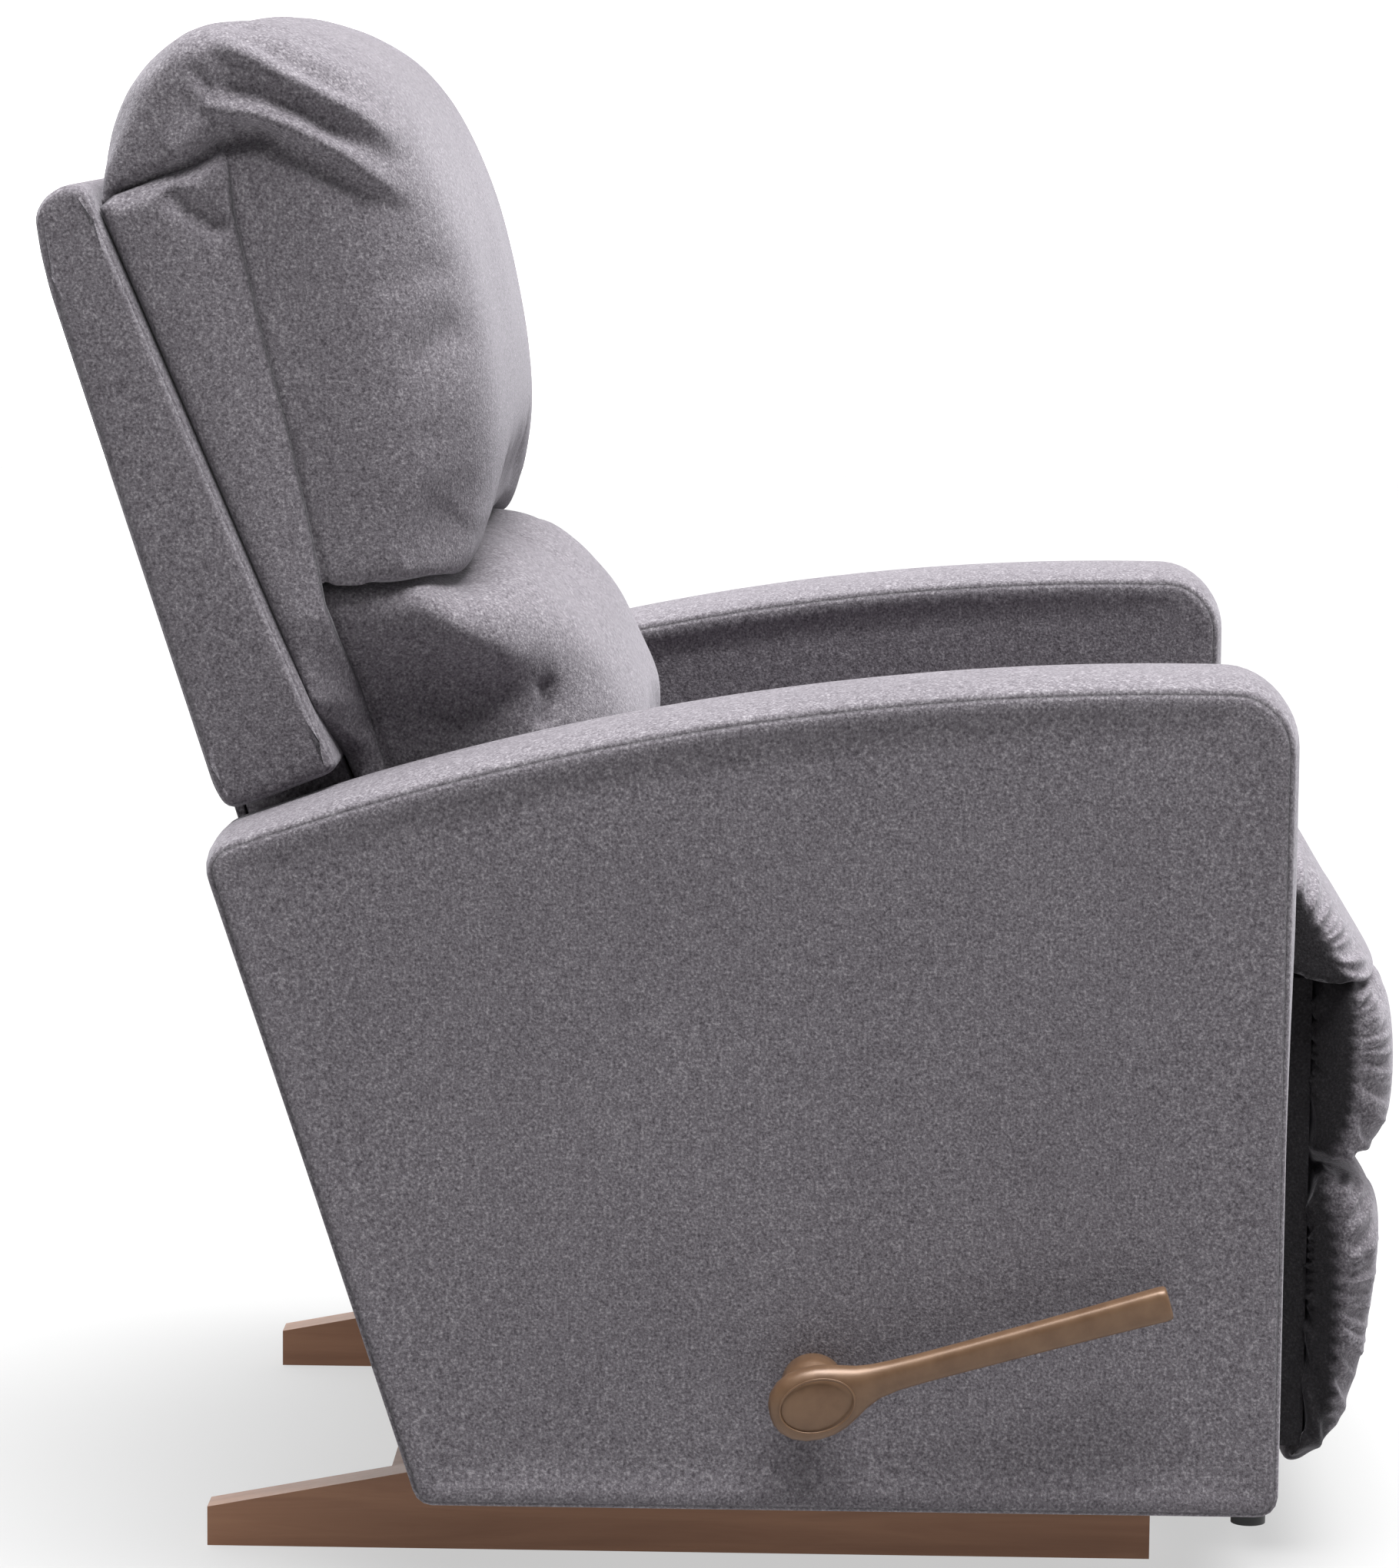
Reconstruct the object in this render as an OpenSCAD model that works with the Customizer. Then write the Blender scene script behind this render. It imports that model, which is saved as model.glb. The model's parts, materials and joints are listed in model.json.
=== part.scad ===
// Upholstered rocker recliner: a chair that rocks on a low wooden base, leans back on its
// arm pivots while the seat glides forward, and lifts its legrest when the side handle is pulled.
// Millimetres. Z is up, the front faces -Y, and the sitter's right hand (the handle side) is -X.
// Side profiles are drawn as [y, z] points and extruded along X.

/* [Arms] */
// Clear width between the two arms
seat_gap = 576; // [560:2:620]
// Thickness of one arm over its upholstery
arm_w = 132; // [120:2:150]
// Height of the seam along the top of the arm at its crest
arm_top_z = 590; // [575:1:620]
// Height of the underside of the arm above the floor
arm_bottom_z = 70; // [66:1:76]
// Front face of the arm, measured from the origin
arm_front_y = -346; // [-350:1:-342]
// Place of the highest point of the arm's top curve
arm_crest_y = -285; // [-295:1:-275]
// Radius of the long curve along the top of the arm
arm_top_r = 1780; // [1600:10:2200]
// Place where the leaning rear edge meets the underside
arm_rear_y = 192; // [188:1:200]
// Lean of the arm's rear edge from upright, in degrees
arm_rear_lean = 18.2; // [17:0.1:19]
// Radius of the arm's front top corner
arm_nose_r = 38; // [30:1:44]
// Radius of the arm's rear top corner
arm_heel_r = 18; // [14:1:24]
// Radius of the two lower corners of the arm
arm_toe_r = 12; // [8:1:14]
// Thickness of the padding and cover over the arm frame
arm_pad = 12; // [9:1:14]
// Depth of the boards that make the frame inside the arm
arm_board = 45; // [36:1:52]

/* [Rocking base] */
// Distance between the centre lines of the two base rails
rail_spread = 505; // [500:1:506]
// Thickness of a base rail
rail_t = 25; // [22:1:26]
// Height of a base rail under the rockers
rail_h = 70; // [66:1:72]
// Height of a base rail at its tapered rear end
rail_end_h = 26; // [22:1:32]
// Front end of the base rails
rail_front_y = -276; // [-282:1:-270]
// Rear end of the base rails
rail_rear_y = 342; // [330:1:350]
// Place where the rear taper of the base rails begins
rail_taper_y = 111; // [108:1:125]
// Section of the two cross rails of the base, front to back and height
base_cross = [25, 40];
// Places of the centres of the two base cross rails
base_cross_y = [-238, 212];
// Thickness of the steel strip that each rocker rolls on
strip_t = 2; // [1.5:0.1:3]

/* [Rockers] */
// Place of the point where the rockers touch the base
rock_y = 35; // [32:1:38]
// Radius of the rolling curve of the rockers
rocker_r = 200; // [180:5:240]
// Half length of a rocker block
rocker_half = 60; // [50:1:61]
// Rise of the flats beside the contact point, in degrees
rocker_flat = 9.3; // [9.2:0.1:10]
// Wire diameter of the rocker springs
spring_wire = 4.5; // [3.5:0.1:5]
// Mean diameter of the rocker springs
spring_d = 26; // [24:1:28]
// Turns in one rocker spring
spring_turns = 4; // [3:1:5]
// Distance of each rocker spring before and behind the contact point
spring_step = 44; // [40:1:46]

/* [Chassis] */
// Thickness of the wooden rails between the arms
wood_t = 22; // [18:1:22]
// Thickness of the side rails fixed to the arms
side_rail_t = 16; // [14:0.5:16]
// Bottom and top of the side rails
side_rail_z = [80, 128];
// Front and rear ends of the side rails
side_rail_y = [-255, 150];
// Height of the rear rail between the arms
rear_rail_h = 75; // [60:1:80]
// Side of the square steel stretcher at the front
stretcher_a = 25; // [20:1:26]
// Diameter of a front glide foot
glide_d = 22; // [18:1:26]
// Height of a front glide foot
glide_h = 20; // [14:1:21]

/* [Handle and drive shaft] */
// Place of the drive shaft
shaft_y = -55; // [-58:1:-53]
// Height of the drive shaft above the floor
shaft_z = 152; // [150:1:154]
// Diameter of the drive shaft
shaft_d = 16; // [14:0.5:16]
// Distance from the shaft to the pin of a crank, and the same distance on the rear link
crank_r = 55; // [54:0.5:56]
// Direction of the cranks at rest, in degrees below straight forward
crank_drop = 112; // [111:0.5:113]
// Length of the lever from the shaft to its tip
lever_l = 228; // [200:1:250]
// Rise of the lever at rest, in degrees
lever_rise = 16; // [12:1:20]
// Width of the lever at its neck, in the middle and at its tip
lever_w = [20, 16.5, 19];
// Thickness of the lever
lever_t = 20; // [16:1:22]
// Radius of the round ends of the lever's oval hub
hub_r = 22; // [20:1:24]
// Distance between the two round ends of the hub
hub_long = 12; // [8:1:16]
// Thickness of the hub
hub_t = 24; // [22:1:28]
// Radius and height of the boss that holds the hub off the arm
boss = [20, 24];
// Thickness of the plain oval plate on the hub
plate_t = 1.5; // [1:0.1:2.5]
// How much narrower the oval plate is than the hub
plate_edge = 10; // [6:1:16]

/* [Legrest linkage] */
// Place of the unseen axis that the legrest turns about
leg_y = -414; // [-416:1:-412]
// Height of the unseen axis that the legrest turns about
leg_z = 446; // [444:1:448]
// Height of the rear link's pivot on the seat
rear_pivot_z = 292; // [291:0.5:293]
// Height of the front link's pivot on the seat
front_pivot_z = 328; // [327:0.5:329]
// Slope of the two bars from level, in degrees
bar_slope = 33; // [32.5:0.1:33.5]
// Lean of the swinging links from plumb at rest, in degrees
link_lean = 31; // [30:0.5:32]
// Distance from a link's pivot to the pin of the upper bar
upper_reach = 130; // [128:1:132]
// Distance from a link's pivot to the pin of the lower bar
lower_reach = 180; // [176:1:182]
// Thickness of the steel links and plates
link_t = 4; // [3:0.5:4]
// Width of the steel links and bars
link_w = 20; // [16:1:22]
// Gap between neighbouring layers of links
link_gap = 1; // [0.6:0.1:1]
// Radius of the pivots on the seat
pivot_r = 6; // [5:0.5:6]
// Radius of the pins between the links
pin_r = 5; // [4:0.5:5]
// Radial clearance of a pin that turns in its hole
pin_fit = 0.05; // [0.03:0.01:0.08]
// Width of the rear link's ear and of a push rod
rod_w = 16; // [15:0.5:16.5]
// Radial clearance at the pivots where a loop of links closes
loop_fit = 0.4; // [0.3:0.05:0.6]

/* [Seat] */
// Bottom and top of the wooden seat frame
seat_frame_z = [342, 372];
// Front and rear ends of the seat frame
seat_frame_y = [-336, 195];
// Width of a side board of the seat frame
seat_board = 35; // [30:1:36]
// Front to back width of the front and rear boards of the seat frame
seat_end_board = 26; // [22:1:26]
// Travel of the seat when the back is fully reclined
seat_travel = 44.8; // [44:0.1:45.6]
// Rise of the seat's track towards the front, in degrees
track_rise = 6; // [5.5:0.1:6.5]
// Height of the gliding blocks
glide_block_h = 22; // [18:1:24]
// Length of a gliding block
glide_block_l = 50; // [40:1:60]
// Clearance of the gliding blocks in their track
glide_fit = 0.3; // [0.2:0.05:0.5]
// Thickness of the wire of the zigzag seat and back springs
zigzag_t = 3.5; // [3:0.1:4]
// Width over the bends of a zigzag spring
zigzag_w = 46; // [40:1:50]
// Number of straight runs in one zigzag spring
zigzag_runs = 21; // [17:2:25]
// Distance between neighbouring seat springs
seat_spring_step = 90; // [80:1:95]

/* [Back] */
// Place of the back's pivots on the arms
back_pivot = [240, 400];
// Distance from the back's pivots down to the pins that push the seat
push_drop = 95; // [94:0.5:96]
// Width of the upholstered back above the arms
back_w = 680; // [660:2:700]
// Width of the back between the arms
back_low_w = 560; // [540:2:560]
// Width of the cloth between a post of the back and the edge of the back between the arms
back_wing = 18; // [17:0.5:19]
// Height of the top edge of the upholstered back
back_top_z = 890; // [885:1:891]
// Height of the lowest edge of the back between the arms
back_low_z = 290; // [286:1:294]
// Height of the padded piece along the top of the back
back_edge = 50; // [44:1:60]
// Clearance of a cushion from what it rests on
cushion_fit = 0.3; // [0.2:0.05:0.5]
// Thickness of the panel that closes the rear of the back
back_panel_t = 8; // [6:0.5:9]

/* [Cushions] */
// Width of the head cushion
head_w = 580; // [564:2:600]
// Width of the lumbar cushion
lumbar_w = 568; // [540:2:570]
// Width of the seat cushion
seat_w = 566; // [540:2:570]
// Width of the legrest pads
pad_w = 548; // [520:2:556]
// Thickness of the legrest board
board_t = 15; // [12:1:16]
// Bottom and top of the legrest board
board_z = [75, 385];
// Rear face of the legrest board
board_y = -360; // [-361:0.5:-359]

/* [Hidden] */
$fn = 48;

fabric_c = [0.46, 0.44, 0.48];
wood_c = [0.42, 0.29, 0.20];
pine_c = [0.78, 0.66, 0.48];
steel_c = [0.55, 0.56, 0.58];
bronze_c = [0.50, 0.37, 0.25];
nylon_c = [0.15, 0.15, 0.16];

// Sideways places, from the middle of the chair
arm_in = seat_gap / 2;
arm_out = arm_in + arm_w;
rail_in = (rail_spread - rail_t) / 2;
rail_out = rail_in + rail_t;
side_rail_in = arm_in - side_rail_t;
layer = link_t + link_gap;
track_t = 2;
track_depth = 12;
plate_out = arm_in - track_depth - 2;
plate_in = plate_out - link_t;
rod_in = plate_in - layer;
link_in = rod_in - layer;
bar_in = link_in - layer;
bracket_in = bar_in - layer;
post_out = back_low_w / 2 - back_wing;
post_in = post_out - wood_t;
back_plate_out = post_out + link_t;

// The handle stands out on one side, so the middle of the chair is off the origin by half of that
handle_reach = boss[1] + hub_t + plate_t;
middle_x = handle_reach / 2;

// Heights and places of the running gear
rock_z = rail_h + strip_t;
shaft = [shaft_y, shaft_z];
leg_axis = [leg_y, leg_z];
rear_pivot = leg_axis + (leg_z - rear_pivot_z) / sin(bar_slope) * [cos(bar_slope), -sin(bar_slope)];
front_pivot = leg_axis + (leg_z - front_pivot_z) / sin(bar_slope) * [cos(bar_slope), -sin(bar_slope)];
link_dir = [sin(link_lean), -cos(link_lean)];
crank_dir = [-cos(crank_drop), -sin(crank_drop)];
track_dir = [-cos(track_rise), sin(track_rise)];
crank_pin = shaft + crank_r * crank_dir;
rod_pin = rear_pivot + crank_r * crank_dir;
push_pin = back_pivot - [0, push_drop];
spring_bottom_z = rail_h - 12;
spring_top_z = side_rail_z[1] - 14;
glide_block_y = [-195, 90];
track_mid = [-60, 312];

echo("joint places, mm: shaft", [middle_x, shaft_y, shaft_z], "rock", [middle_x, rock_y, rock_z]);
echo("leg axis", leg_axis, "rear pivot", rear_pivot, "front pivot", front_pivot);
echo("upper pin", rear_pivot + upper_reach * link_dir, "lower pin", rear_pivot + lower_reach * link_dir);
echo("crank pin", crank_pin, "rod pin", rod_pin, "middle x", middle_x);

// Helpers

// Draws its children once on each side of the chair
module both_sides() {
    children();
    mirror([1, 0, 0]) children();
}

// Side 1 is the sitter's left, -1 the right
module on_side(side) {
    mirror([side < 0 ? 1 : 0, 0, 0]) children();
}

// Moves the chair so that the origin is at the middle of its outer size
module placed() {
    translate([middle_x, 0, 0]) children();
}

// Extrudes a side profile of [y, z] points along X, from x0 to x1
module across(x0, x1) {
    translate([x0, 0, 0]) rotate([90, 0, 90]) linear_extrude(x1 - x0) children();
}

// A box given by its ranges along X, Y and Z
module block(x, y, z) {
    translate([x[0], y[0], z[0]]) cube([x[1] - x[0], y[1] - y[0], z[1] - z[0]]);
}

// A flat bar with round ends between two points
module bar_2d(a, b, w) {
    turn = angle_of(b - a);
    polygon(concat(arc(b, w / 2, turn - 90, turn + 90, 8), arc(a, w / 2, turn + 90, turn + 270, 8)));
}

// A round pin or hole across the chair
module pin(at, r, x0, x1) {
    translate([x0, at[0], at[1]]) rotate([0, 90, 0]) cylinder(r = r, h = x1 - x0);
}

function arc(c, r, a0, a1, n) = [
    for (i = [0:n]) let (a = a0 + (a1 - a0) * i / n) [c[0] + r * cos(a), c[1] + r * sin(a)]
];
function angle_of(v) = atan2(v[1], v[0]);

// Arms

// Outline of the arm, drawn inside its outer face by the inset
function arm_outline(inset) =
    let (
        big = [arm_crest_y, arm_top_z - arm_top_r],
        big_r = arm_top_r - inset,
        n = [cos(arm_rear_lean), -sin(arm_rear_lean)],
        d = [sin(arm_rear_lean), cos(arm_rear_lean)],
        foot = [arm_rear_y, arm_bottom_z],
        toe = max(arm_toe_r - inset, 1),
        heel = max(arm_heel_r - inset, 1),
        nose = max(arm_nose_r - inset, 1),
        front_toe = [arm_front_y + inset + toe, arm_bottom_z + inset + toe],
        rear_base = foot - (inset + toe) * n,
        rear_toe = rear_base + (arm_bottom_z + inset + toe - rear_base[1]) / d[1] * d,
        heel_base = foot - (inset + heel) * n - big,
        along = heel_base * d,
        heel_c = big + heel_base + (sqrt(along * along - heel_base * heel_base
            + (big_r - heel) * (big_r - heel)) - along) * d,
        nose_y = arm_front_y + inset + nose,
        nose_c = [nose_y, big[1] + sqrt((big_r - nose) * (big_r - nose)
            - (nose_y - big[0]) * (nose_y - big[0]))],
        heel_a = angle_of(heel_c - big),
        nose_a = angle_of(nose_c - big)
    )
    concat(
        arc(front_toe, toe, 180, 270, 5),
        arc(rear_toe, toe, 270, 360 - arm_rear_lean, 5),
        arc(heel_c, heel, -arm_rear_lean, heel_a, 6),
        arc(big, big_r, heel_a, nose_a, 28),
        arc(nose_c, nose, nose_a, 180, 8)
    );

module arm_cover(side) {
    color(fabric_c) placed() on_side(side) difference() {
        across(arm_in, arm_out) polygon(arm_outline(0));
        across(arm_in + arm_pad, arm_out - arm_pad) polygon(arm_outline(arm_pad));
        if (side < 0) pin(shaft, shaft_d / 2 + 1.5, arm_in - 1, arm_out + 1);
    }
}

module arm_frame(side) {
    inside = arm_pad + 0.2;
    color(pine_c) placed() on_side(side) difference() {
        across(arm_in + inside, arm_out - inside) polygon(arm_outline(inside));
        across(arm_in, arm_out) polygon(arm_outline(inside + arm_board));
    }
}

// Rocking base

module base_rail(side) {
    color(wood_c) placed() on_side(side) across(rail_in, rail_out) polygon([
        [rail_front_y, 0], [rail_rear_y, 0], [rail_rear_y, rail_end_h],
        [rail_taper_y, rail_h], [rail_front_y, rail_h]
    ]);
}

module base_cross_rails() {
    color(wood_c) placed() for (y = base_cross_y)
        block([-rail_in, rail_in], [y - base_cross[0] / 2, y + base_cross[0] / 2], [2, 2 + base_cross[1]]);
}

module rocker_strips() {
    color(steel_c) placed() both_sides()
        block([rail_in, rail_out], [rock_y - rocker_half - 8, rock_y + rocker_half + 8], [rail_h, rock_z]);
}

// Rocker block: flats that meet at the contact point, then the rolling curve
module rocker_block(side) {
    top = side_rail_z[1] - rock_z;
    rise = rocker_half * tan(rocker_flat);
    color(wood_c) placed() on_side(side) across(rail_in, side_rail_in) translate([rock_y, rock_z])
        intersection() {
            translate([-rocker_half, 0]) square([2 * rocker_half, top]);
            polygon([[0, 0], [rocker_half, rise], [rocker_half, top], [-rocker_half, top], [-rocker_half, rise]]);
            translate([0, rocker_r]) circle(r = rocker_r, $fn = 96);
        }
}

// Brackets that carry the ends of the rocker springs
spring_x = rail_in - 21;
module spring_seat(z) {
    block([rail_in - 40, rail_in], [rock_y - spring_step - 20, rock_y + spring_step + 20], [z, z + 3]);
}

module lower_spring_seats() {
    color(steel_c) placed() both_sides() {
        spring_seat(spring_bottom_z - 3);
        block([rail_in - 3, rail_in], [rock_y - spring_step - 20, rock_y + spring_step + 20],
            [spring_bottom_z - 30, spring_bottom_z - 3]);
    }
}

module upper_spring_seats() {
    color(steel_c) placed() both_sides() {
        spring_seat(spring_top_z);
        block([rail_in - 3, rail_in], [rock_y - rocker_half, rock_y + rocker_half], [spring_top_z + 3, side_rail_z[1]]);
    }
}

// One rocker spring as an unbroken tube: the end turns lie flat on the brackets
spring_rings = 8;
spring_sides = 6;
function coil_point(t) =
    let (
        a = 360 * t,
        free = spring_top_z - spring_bottom_z - spring_wire - 0.6,
        rest = 0.6,
        share = max(0, min(1, (t - rest) / (spring_turns - 2 * rest)))
    )
    [spring_d / 2 * cos(a), spring_d / 2 * sin(a),
        spring_bottom_z + spring_wire / 2 + 0.3 + free * share];
coil_count = spring_turns * spring_rings;
coil_path = [for (i = [0:coil_count]) coil_point(i / spring_rings)];
coil_gap = min([
    for (i = [0:coil_count]) for (j = [i + 5:1:coil_count]) norm(coil_path[i] - coil_path[j])
]) - spring_wire;
echo("least gap of a rocker spring to itself, mm", coil_gap);

module tube_along(path, r, sides) {
    count = len(path);
    rings = [
        for (i = [0:count - 1])
            let (
                t = path[min(i + 1, count - 1)] - path[max(i - 1, 0)],
                u = cross([0, 0, 1], t) / norm(cross([0, 0, 1], t)),
                v = cross(t, u) / norm(t)
            )
            for (k = [0:sides - 1]) path[i] + r * (cos(360 * k / sides) * u + sin(360 * k / sides) * v)
    ];
    walls = [
        for (i = [0:count - 2]) for (k = [0:sides - 1])
            let (a = i * sides + k, b = i * sides + (k + 1) % sides)
            each [[a, b, b + sides], [a, b + sides, a + sides]]
    ];
    start = [for (k = [1:sides - 2]) [0, k + 1, k]];
    last = (count - 1) * sides;
    end = [for (k = [1:sides - 2]) [last, last + k, last + k + 1]];
    polyhedron(rings, concat(walls, start, end));
}

module rocker_springs() {
    color(steel_c) placed() both_sides() for (step = [-spring_step, spring_step])
        translate([spring_x, rock_y + step, 0]) tube_along(coil_path, spring_wire / 2, spring_sides);
}

// Chassis between the arms

module side_rail(side) {
    color(pine_c) placed() on_side(side) block([side_rail_in, arm_in], side_rail_y, side_rail_z);
}

module mid_rail() {
    color(pine_c) placed()
        block([-rail_in, rail_in], [rock_y - wood_t / 2, rock_y + wood_t / 2], [rock_z + 14, spring_top_z]);
}

module rear_rail() {
    color(pine_c) placed()
        block([-arm_in, arm_in], [side_rail_y[1], side_rail_y[1] + wood_t], [side_rail_z[0] + 15, side_rail_z[0] + 15 + rear_rail_h]);
}

module front_stretcher() {
    y = arm_front_y + 6;
    z = arm_bottom_z + 4;
    color(steel_c) placed() difference() {
        block([-arm_in, arm_in], [y, y + stretcher_a], [z, z + stretcher_a]);
        block([-arm_in - 1, arm_in + 1], [y + 2, y + stretcher_a - 2], [z + 2, z + stretcher_a - 2]);
    }
}

module shaft_bearings() {
    color(nylon_c) placed() both_sides() difference() {
        block([plate_in, arm_in], [shaft_y - 22, shaft_y + 22], [side_rail_z[1], shaft_z + 24]);
        pin(shaft, shaft_d / 2 + pin_fit, plate_in - 1, arm_in + 1);
    }
}

// Track for the seat's gliding blocks, a channel that rises to the front
module seat_tracks() {
    inner = glide_block_h / 2 + glide_fit;
    outer = inner + track_t;
    reach = [glide_block_y[0] - glide_block_l / 2 - seat_travel - 6, glide_block_y[1] + glide_block_l / 2 + 6] - [track_mid[0], track_mid[0]];
    color(steel_c) placed() both_sides() translate([0, track_mid[0], track_mid[1]]) rotate([-track_rise, 0, 0])
        difference() {
            block([arm_in - track_depth, arm_in], reach, [-outer, outer]);
            block([arm_in - track_depth - 1, arm_in - track_t], reach + [-1, 1], [-inner, inner]);
        }
}

module back_pivots() {
    color(steel_c) placed() both_sides() {
        pin(back_pivot, 16, back_plate_out + 0.5, arm_in);
        pin(back_pivot, pivot_r, post_out + 0.3, back_plate_out + 1);
    }
}

module front_glides() {
    color(nylon_c) placed() both_sides()
        translate([(arm_in + arm_out) / 2, arm_front_y + glide_d / 2 + 2, arm_bottom_z - glide_h])
            cylinder(d = glide_d, h = glide_h);
}

// Rear panel under the back, between the arms
module rear_apron() {
    z0 = side_rail_z[0] + 15;
    z1 = back_low_z - 10;
    t = 6;
    inset = 6;
    function rear_line(z) = arm_rear_y - inset + (z - arm_bottom_z) * tan(arm_rear_lean);
    color(fabric_c) placed() across(-arm_in + 0.3, arm_in - 0.3) polygon([
        [rear_line(z0), z0], [rear_line(z1), z1], [rear_line(z1) - t, z1], [rear_line(z0) - t, z0]
    ]);
}

// Handle and drive shaft

module drive_shaft() {
    color(steel_c) placed() pin(shaft, shaft_d / 2, -arm_out - boss[1] - hub_t / 2, arm_in - 2);
}

module lever_2d() {
    rise = 180 - lever_rise;
    neck = hub_long / 2 + hub_r - 4;
    translate(shaft) rotate(rise) {
        bar_2d([-hub_long / 2, 0], [hub_long / 2, 0], 2 * hub_r);
        polygon([
            [0, -hub_r], [neck + 26, -lever_w[0] / 2], [(neck + lever_l) / 2, -lever_w[1] / 2], [lever_l, -lever_w[2] / 2],
            [lever_l, lever_w[2] / 2], [(neck + lever_l) / 2, lever_w[1] / 2], [neck + 26, lever_w[0] / 2], [0, hub_r]
        ]);
    }
}

module handle_lever() {
    x = arm_out + boss[1];
    color(bronze_c) placed() mirror([1, 0, 0]) difference() {
        union() {
            pin(shaft, boss[0], arm_out + 0.5, x + 1);
            across(x, x + lever_t) lever_2d();
            across(x, x + hub_t) translate(shaft) rotate(180 - lever_rise)
                bar_2d([-hub_long / 2, 0], [hub_long / 2, 0], 2 * hub_r);
        }
        pin(shaft, shaft_d / 2 + pin_fit, arm_out, x + hub_t / 2 + 0.2);
    }
}

module handle_plate() {
    x = arm_out + boss[1] + hub_t;
    color(bronze_c) placed() mirror([1, 0, 0]) across(x, x + plate_t) translate(shaft) rotate(180 - lever_rise)
        bar_2d([-hub_long / 2, 0], [hub_long / 2, 0], 2 * hub_r - plate_edge);
}

module cranks() {
    color(steel_c) placed() both_sides() {
        difference() {
            across(link_in, link_in + link_t) union() {
                bar_2d(shaft, crank_pin, rod_w);
                translate(shaft) circle(r = 14);
            }
            pin(shaft, shaft_d / 2 + pin_fit, link_in - 1, link_in + layer);
        }
        pin(crank_pin, pin_r, link_in + 1, rod_in + link_t);
    }
}

// Push rod: its slot lets the seat glide without turning the handle
module push_rod(side) {
    slot_end = rod_pin + (seat_travel + 1) * track_dir;
    color(steel_c) placed() on_side(side) difference() {
        across(rod_in, rod_in + link_t) union() {
            bar_2d(crank_pin, rod_pin, rod_w);
            bar_2d(rod_pin, slot_end, 2 * pin_r + 14);
        }
        pin(crank_pin, pin_r + pin_fit, rod_in - 1, rod_in + layer);
        across(rod_in - 1, rod_in + layer) bar_2d(rod_pin - 1 * track_dir, slot_end, 2 * (pin_r + loop_fit));
    }
}

// Seat

// Side plate of the mechanism: it carries the links in front and is pushed by the back's pin at the rear
module mechanism_plate(side) {
    low = rear_pivot_z - 20;
    rear = push_pin[0] + 20;
    slot_low = push_pin - [0, 2];
    slot_high = push_pin + [0, 9];
    color(steel_c) placed() on_side(side) {
        difference() {
            across(plate_in, plate_out) polygon([
                [front_pivot[0] - 18, seat_frame_z[1]], [front_pivot[0] - 18, front_pivot_z - 18],
                [rear_pivot[0] - 14, low], [rear_pivot[0] + 40, low], [push_pin[0] - 30, push_pin[1] - 20],
                [rear, push_pin[1] - 20], [rear, push_pin[1] + 26], [seat_frame_y[1] - 4, seat_frame_z[1] - 20],
                [seat_frame_y[1] - 4, seat_frame_z[1]]
            ]);
            across(plate_in - 1, plate_out + 1) bar_2d(slot_low, slot_high, 2 * (pin_r + 1.5));
        }
        pin(rear_pivot, pivot_r, link_in - 0.4, plate_in + 1);
        pin(front_pivot, pivot_r, link_in - 0.4, plate_in + 1);
    }
}

module seat_side_boards() {
    color(pine_c) placed() both_sides() block([plate_in - seat_board, plate_in], seat_frame_y, seat_frame_z);
}

// Boards that close the seat frame at its front and rear
module seat_end_boards() {
    x = plate_in - seat_board;
    color(pine_c) placed() for (y = [seat_frame_y[0], seat_frame_y[1] - seat_end_board])
        block([-x, x], [y, y + seat_end_board], seat_frame_z);
}

// Flat zigzag wire, from 0 to length along its first axis
module zigzag_2d(length) {
    near = zigzag_side(length, -1);
    polygon(concat(zigzag_side(length, 1), [for (i = [len(near) - 1:-1:0]) near[i]]));
}

// One side of the wire: its turns lie by turns at the top and at the bottom
function zigzag_side(length, side) =
    let (
        pitch = length / zigzag_runs,
        r = pitch / 2,
        half = zigzag_w / 2 - r,
        mid = zigzag_t / 2,
        off = side * mid,
        last = zigzag_runs % 2 == 1 ? 1 : -1
    )
    concat(
        [[mid - off, -half - mid]],
        [for (i = [0:zigzag_runs - 2]) let (up = i % 2 == 0 ? 1 : -1) for (a = [180, 90, 0])
            [mid + (i + 0.5) * pitch + (r + up * off) * cos(a), up * (half + (r + up * off) * sin(a))]],
        [[mid + (zigzag_runs - 1) * pitch - last * off, last * (half + mid)]]
    );

// Seat springs run from the front board to the rear board
module seat_springs() {
    y0 = seat_frame_y[0] + 10;
    length = seat_frame_y[1] - seat_frame_y[0] - 20;
    color(steel_c) placed() for (i = [-2:2])
        translate([i * seat_spring_step, y0, seat_frame_z[1]]) rotate([0, 0, 90]) linear_extrude(zigzag_t) zigzag_2d(length);
}

module glide_blocks() {
    half = glide_block_l / 2;
    color(nylon_c) placed() both_sides() translate([0, track_mid[0], track_mid[1]]) rotate([-track_rise, 0, 0])
        for (y = glide_block_y)
            block([plate_out, arm_in - track_t - glide_fit], [y - track_mid[0] - half, y - track_mid[0] + half],
                [-glide_block_h / 2, glide_block_h / 2]);
}

// Legrest linkage

module rear_link(side) {
    tip = rear_pivot + lower_reach * link_dir;
    upper = rear_pivot + upper_reach * link_dir;
    color(steel_c) placed() on_side(side) {
        difference() {
            across(link_in, link_in + link_t) union() {
                bar_2d(rear_pivot, tip, link_w);
                bar_2d(rear_pivot, rod_pin, rod_w);
                polygon([rear_pivot, rod_pin, rear_pivot + crank_r * link_dir]);
            }
            pin(rear_pivot, pivot_r + pin_fit, link_in - 1, link_in + layer);
        }
        pin(upper, pin_r, bar_in, link_in + 1);
        pin(tip, pin_r, bar_in, link_in + 1);
        pin(rod_pin, pin_r, link_in + 1, rod_in + link_t);
    }
}

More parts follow.
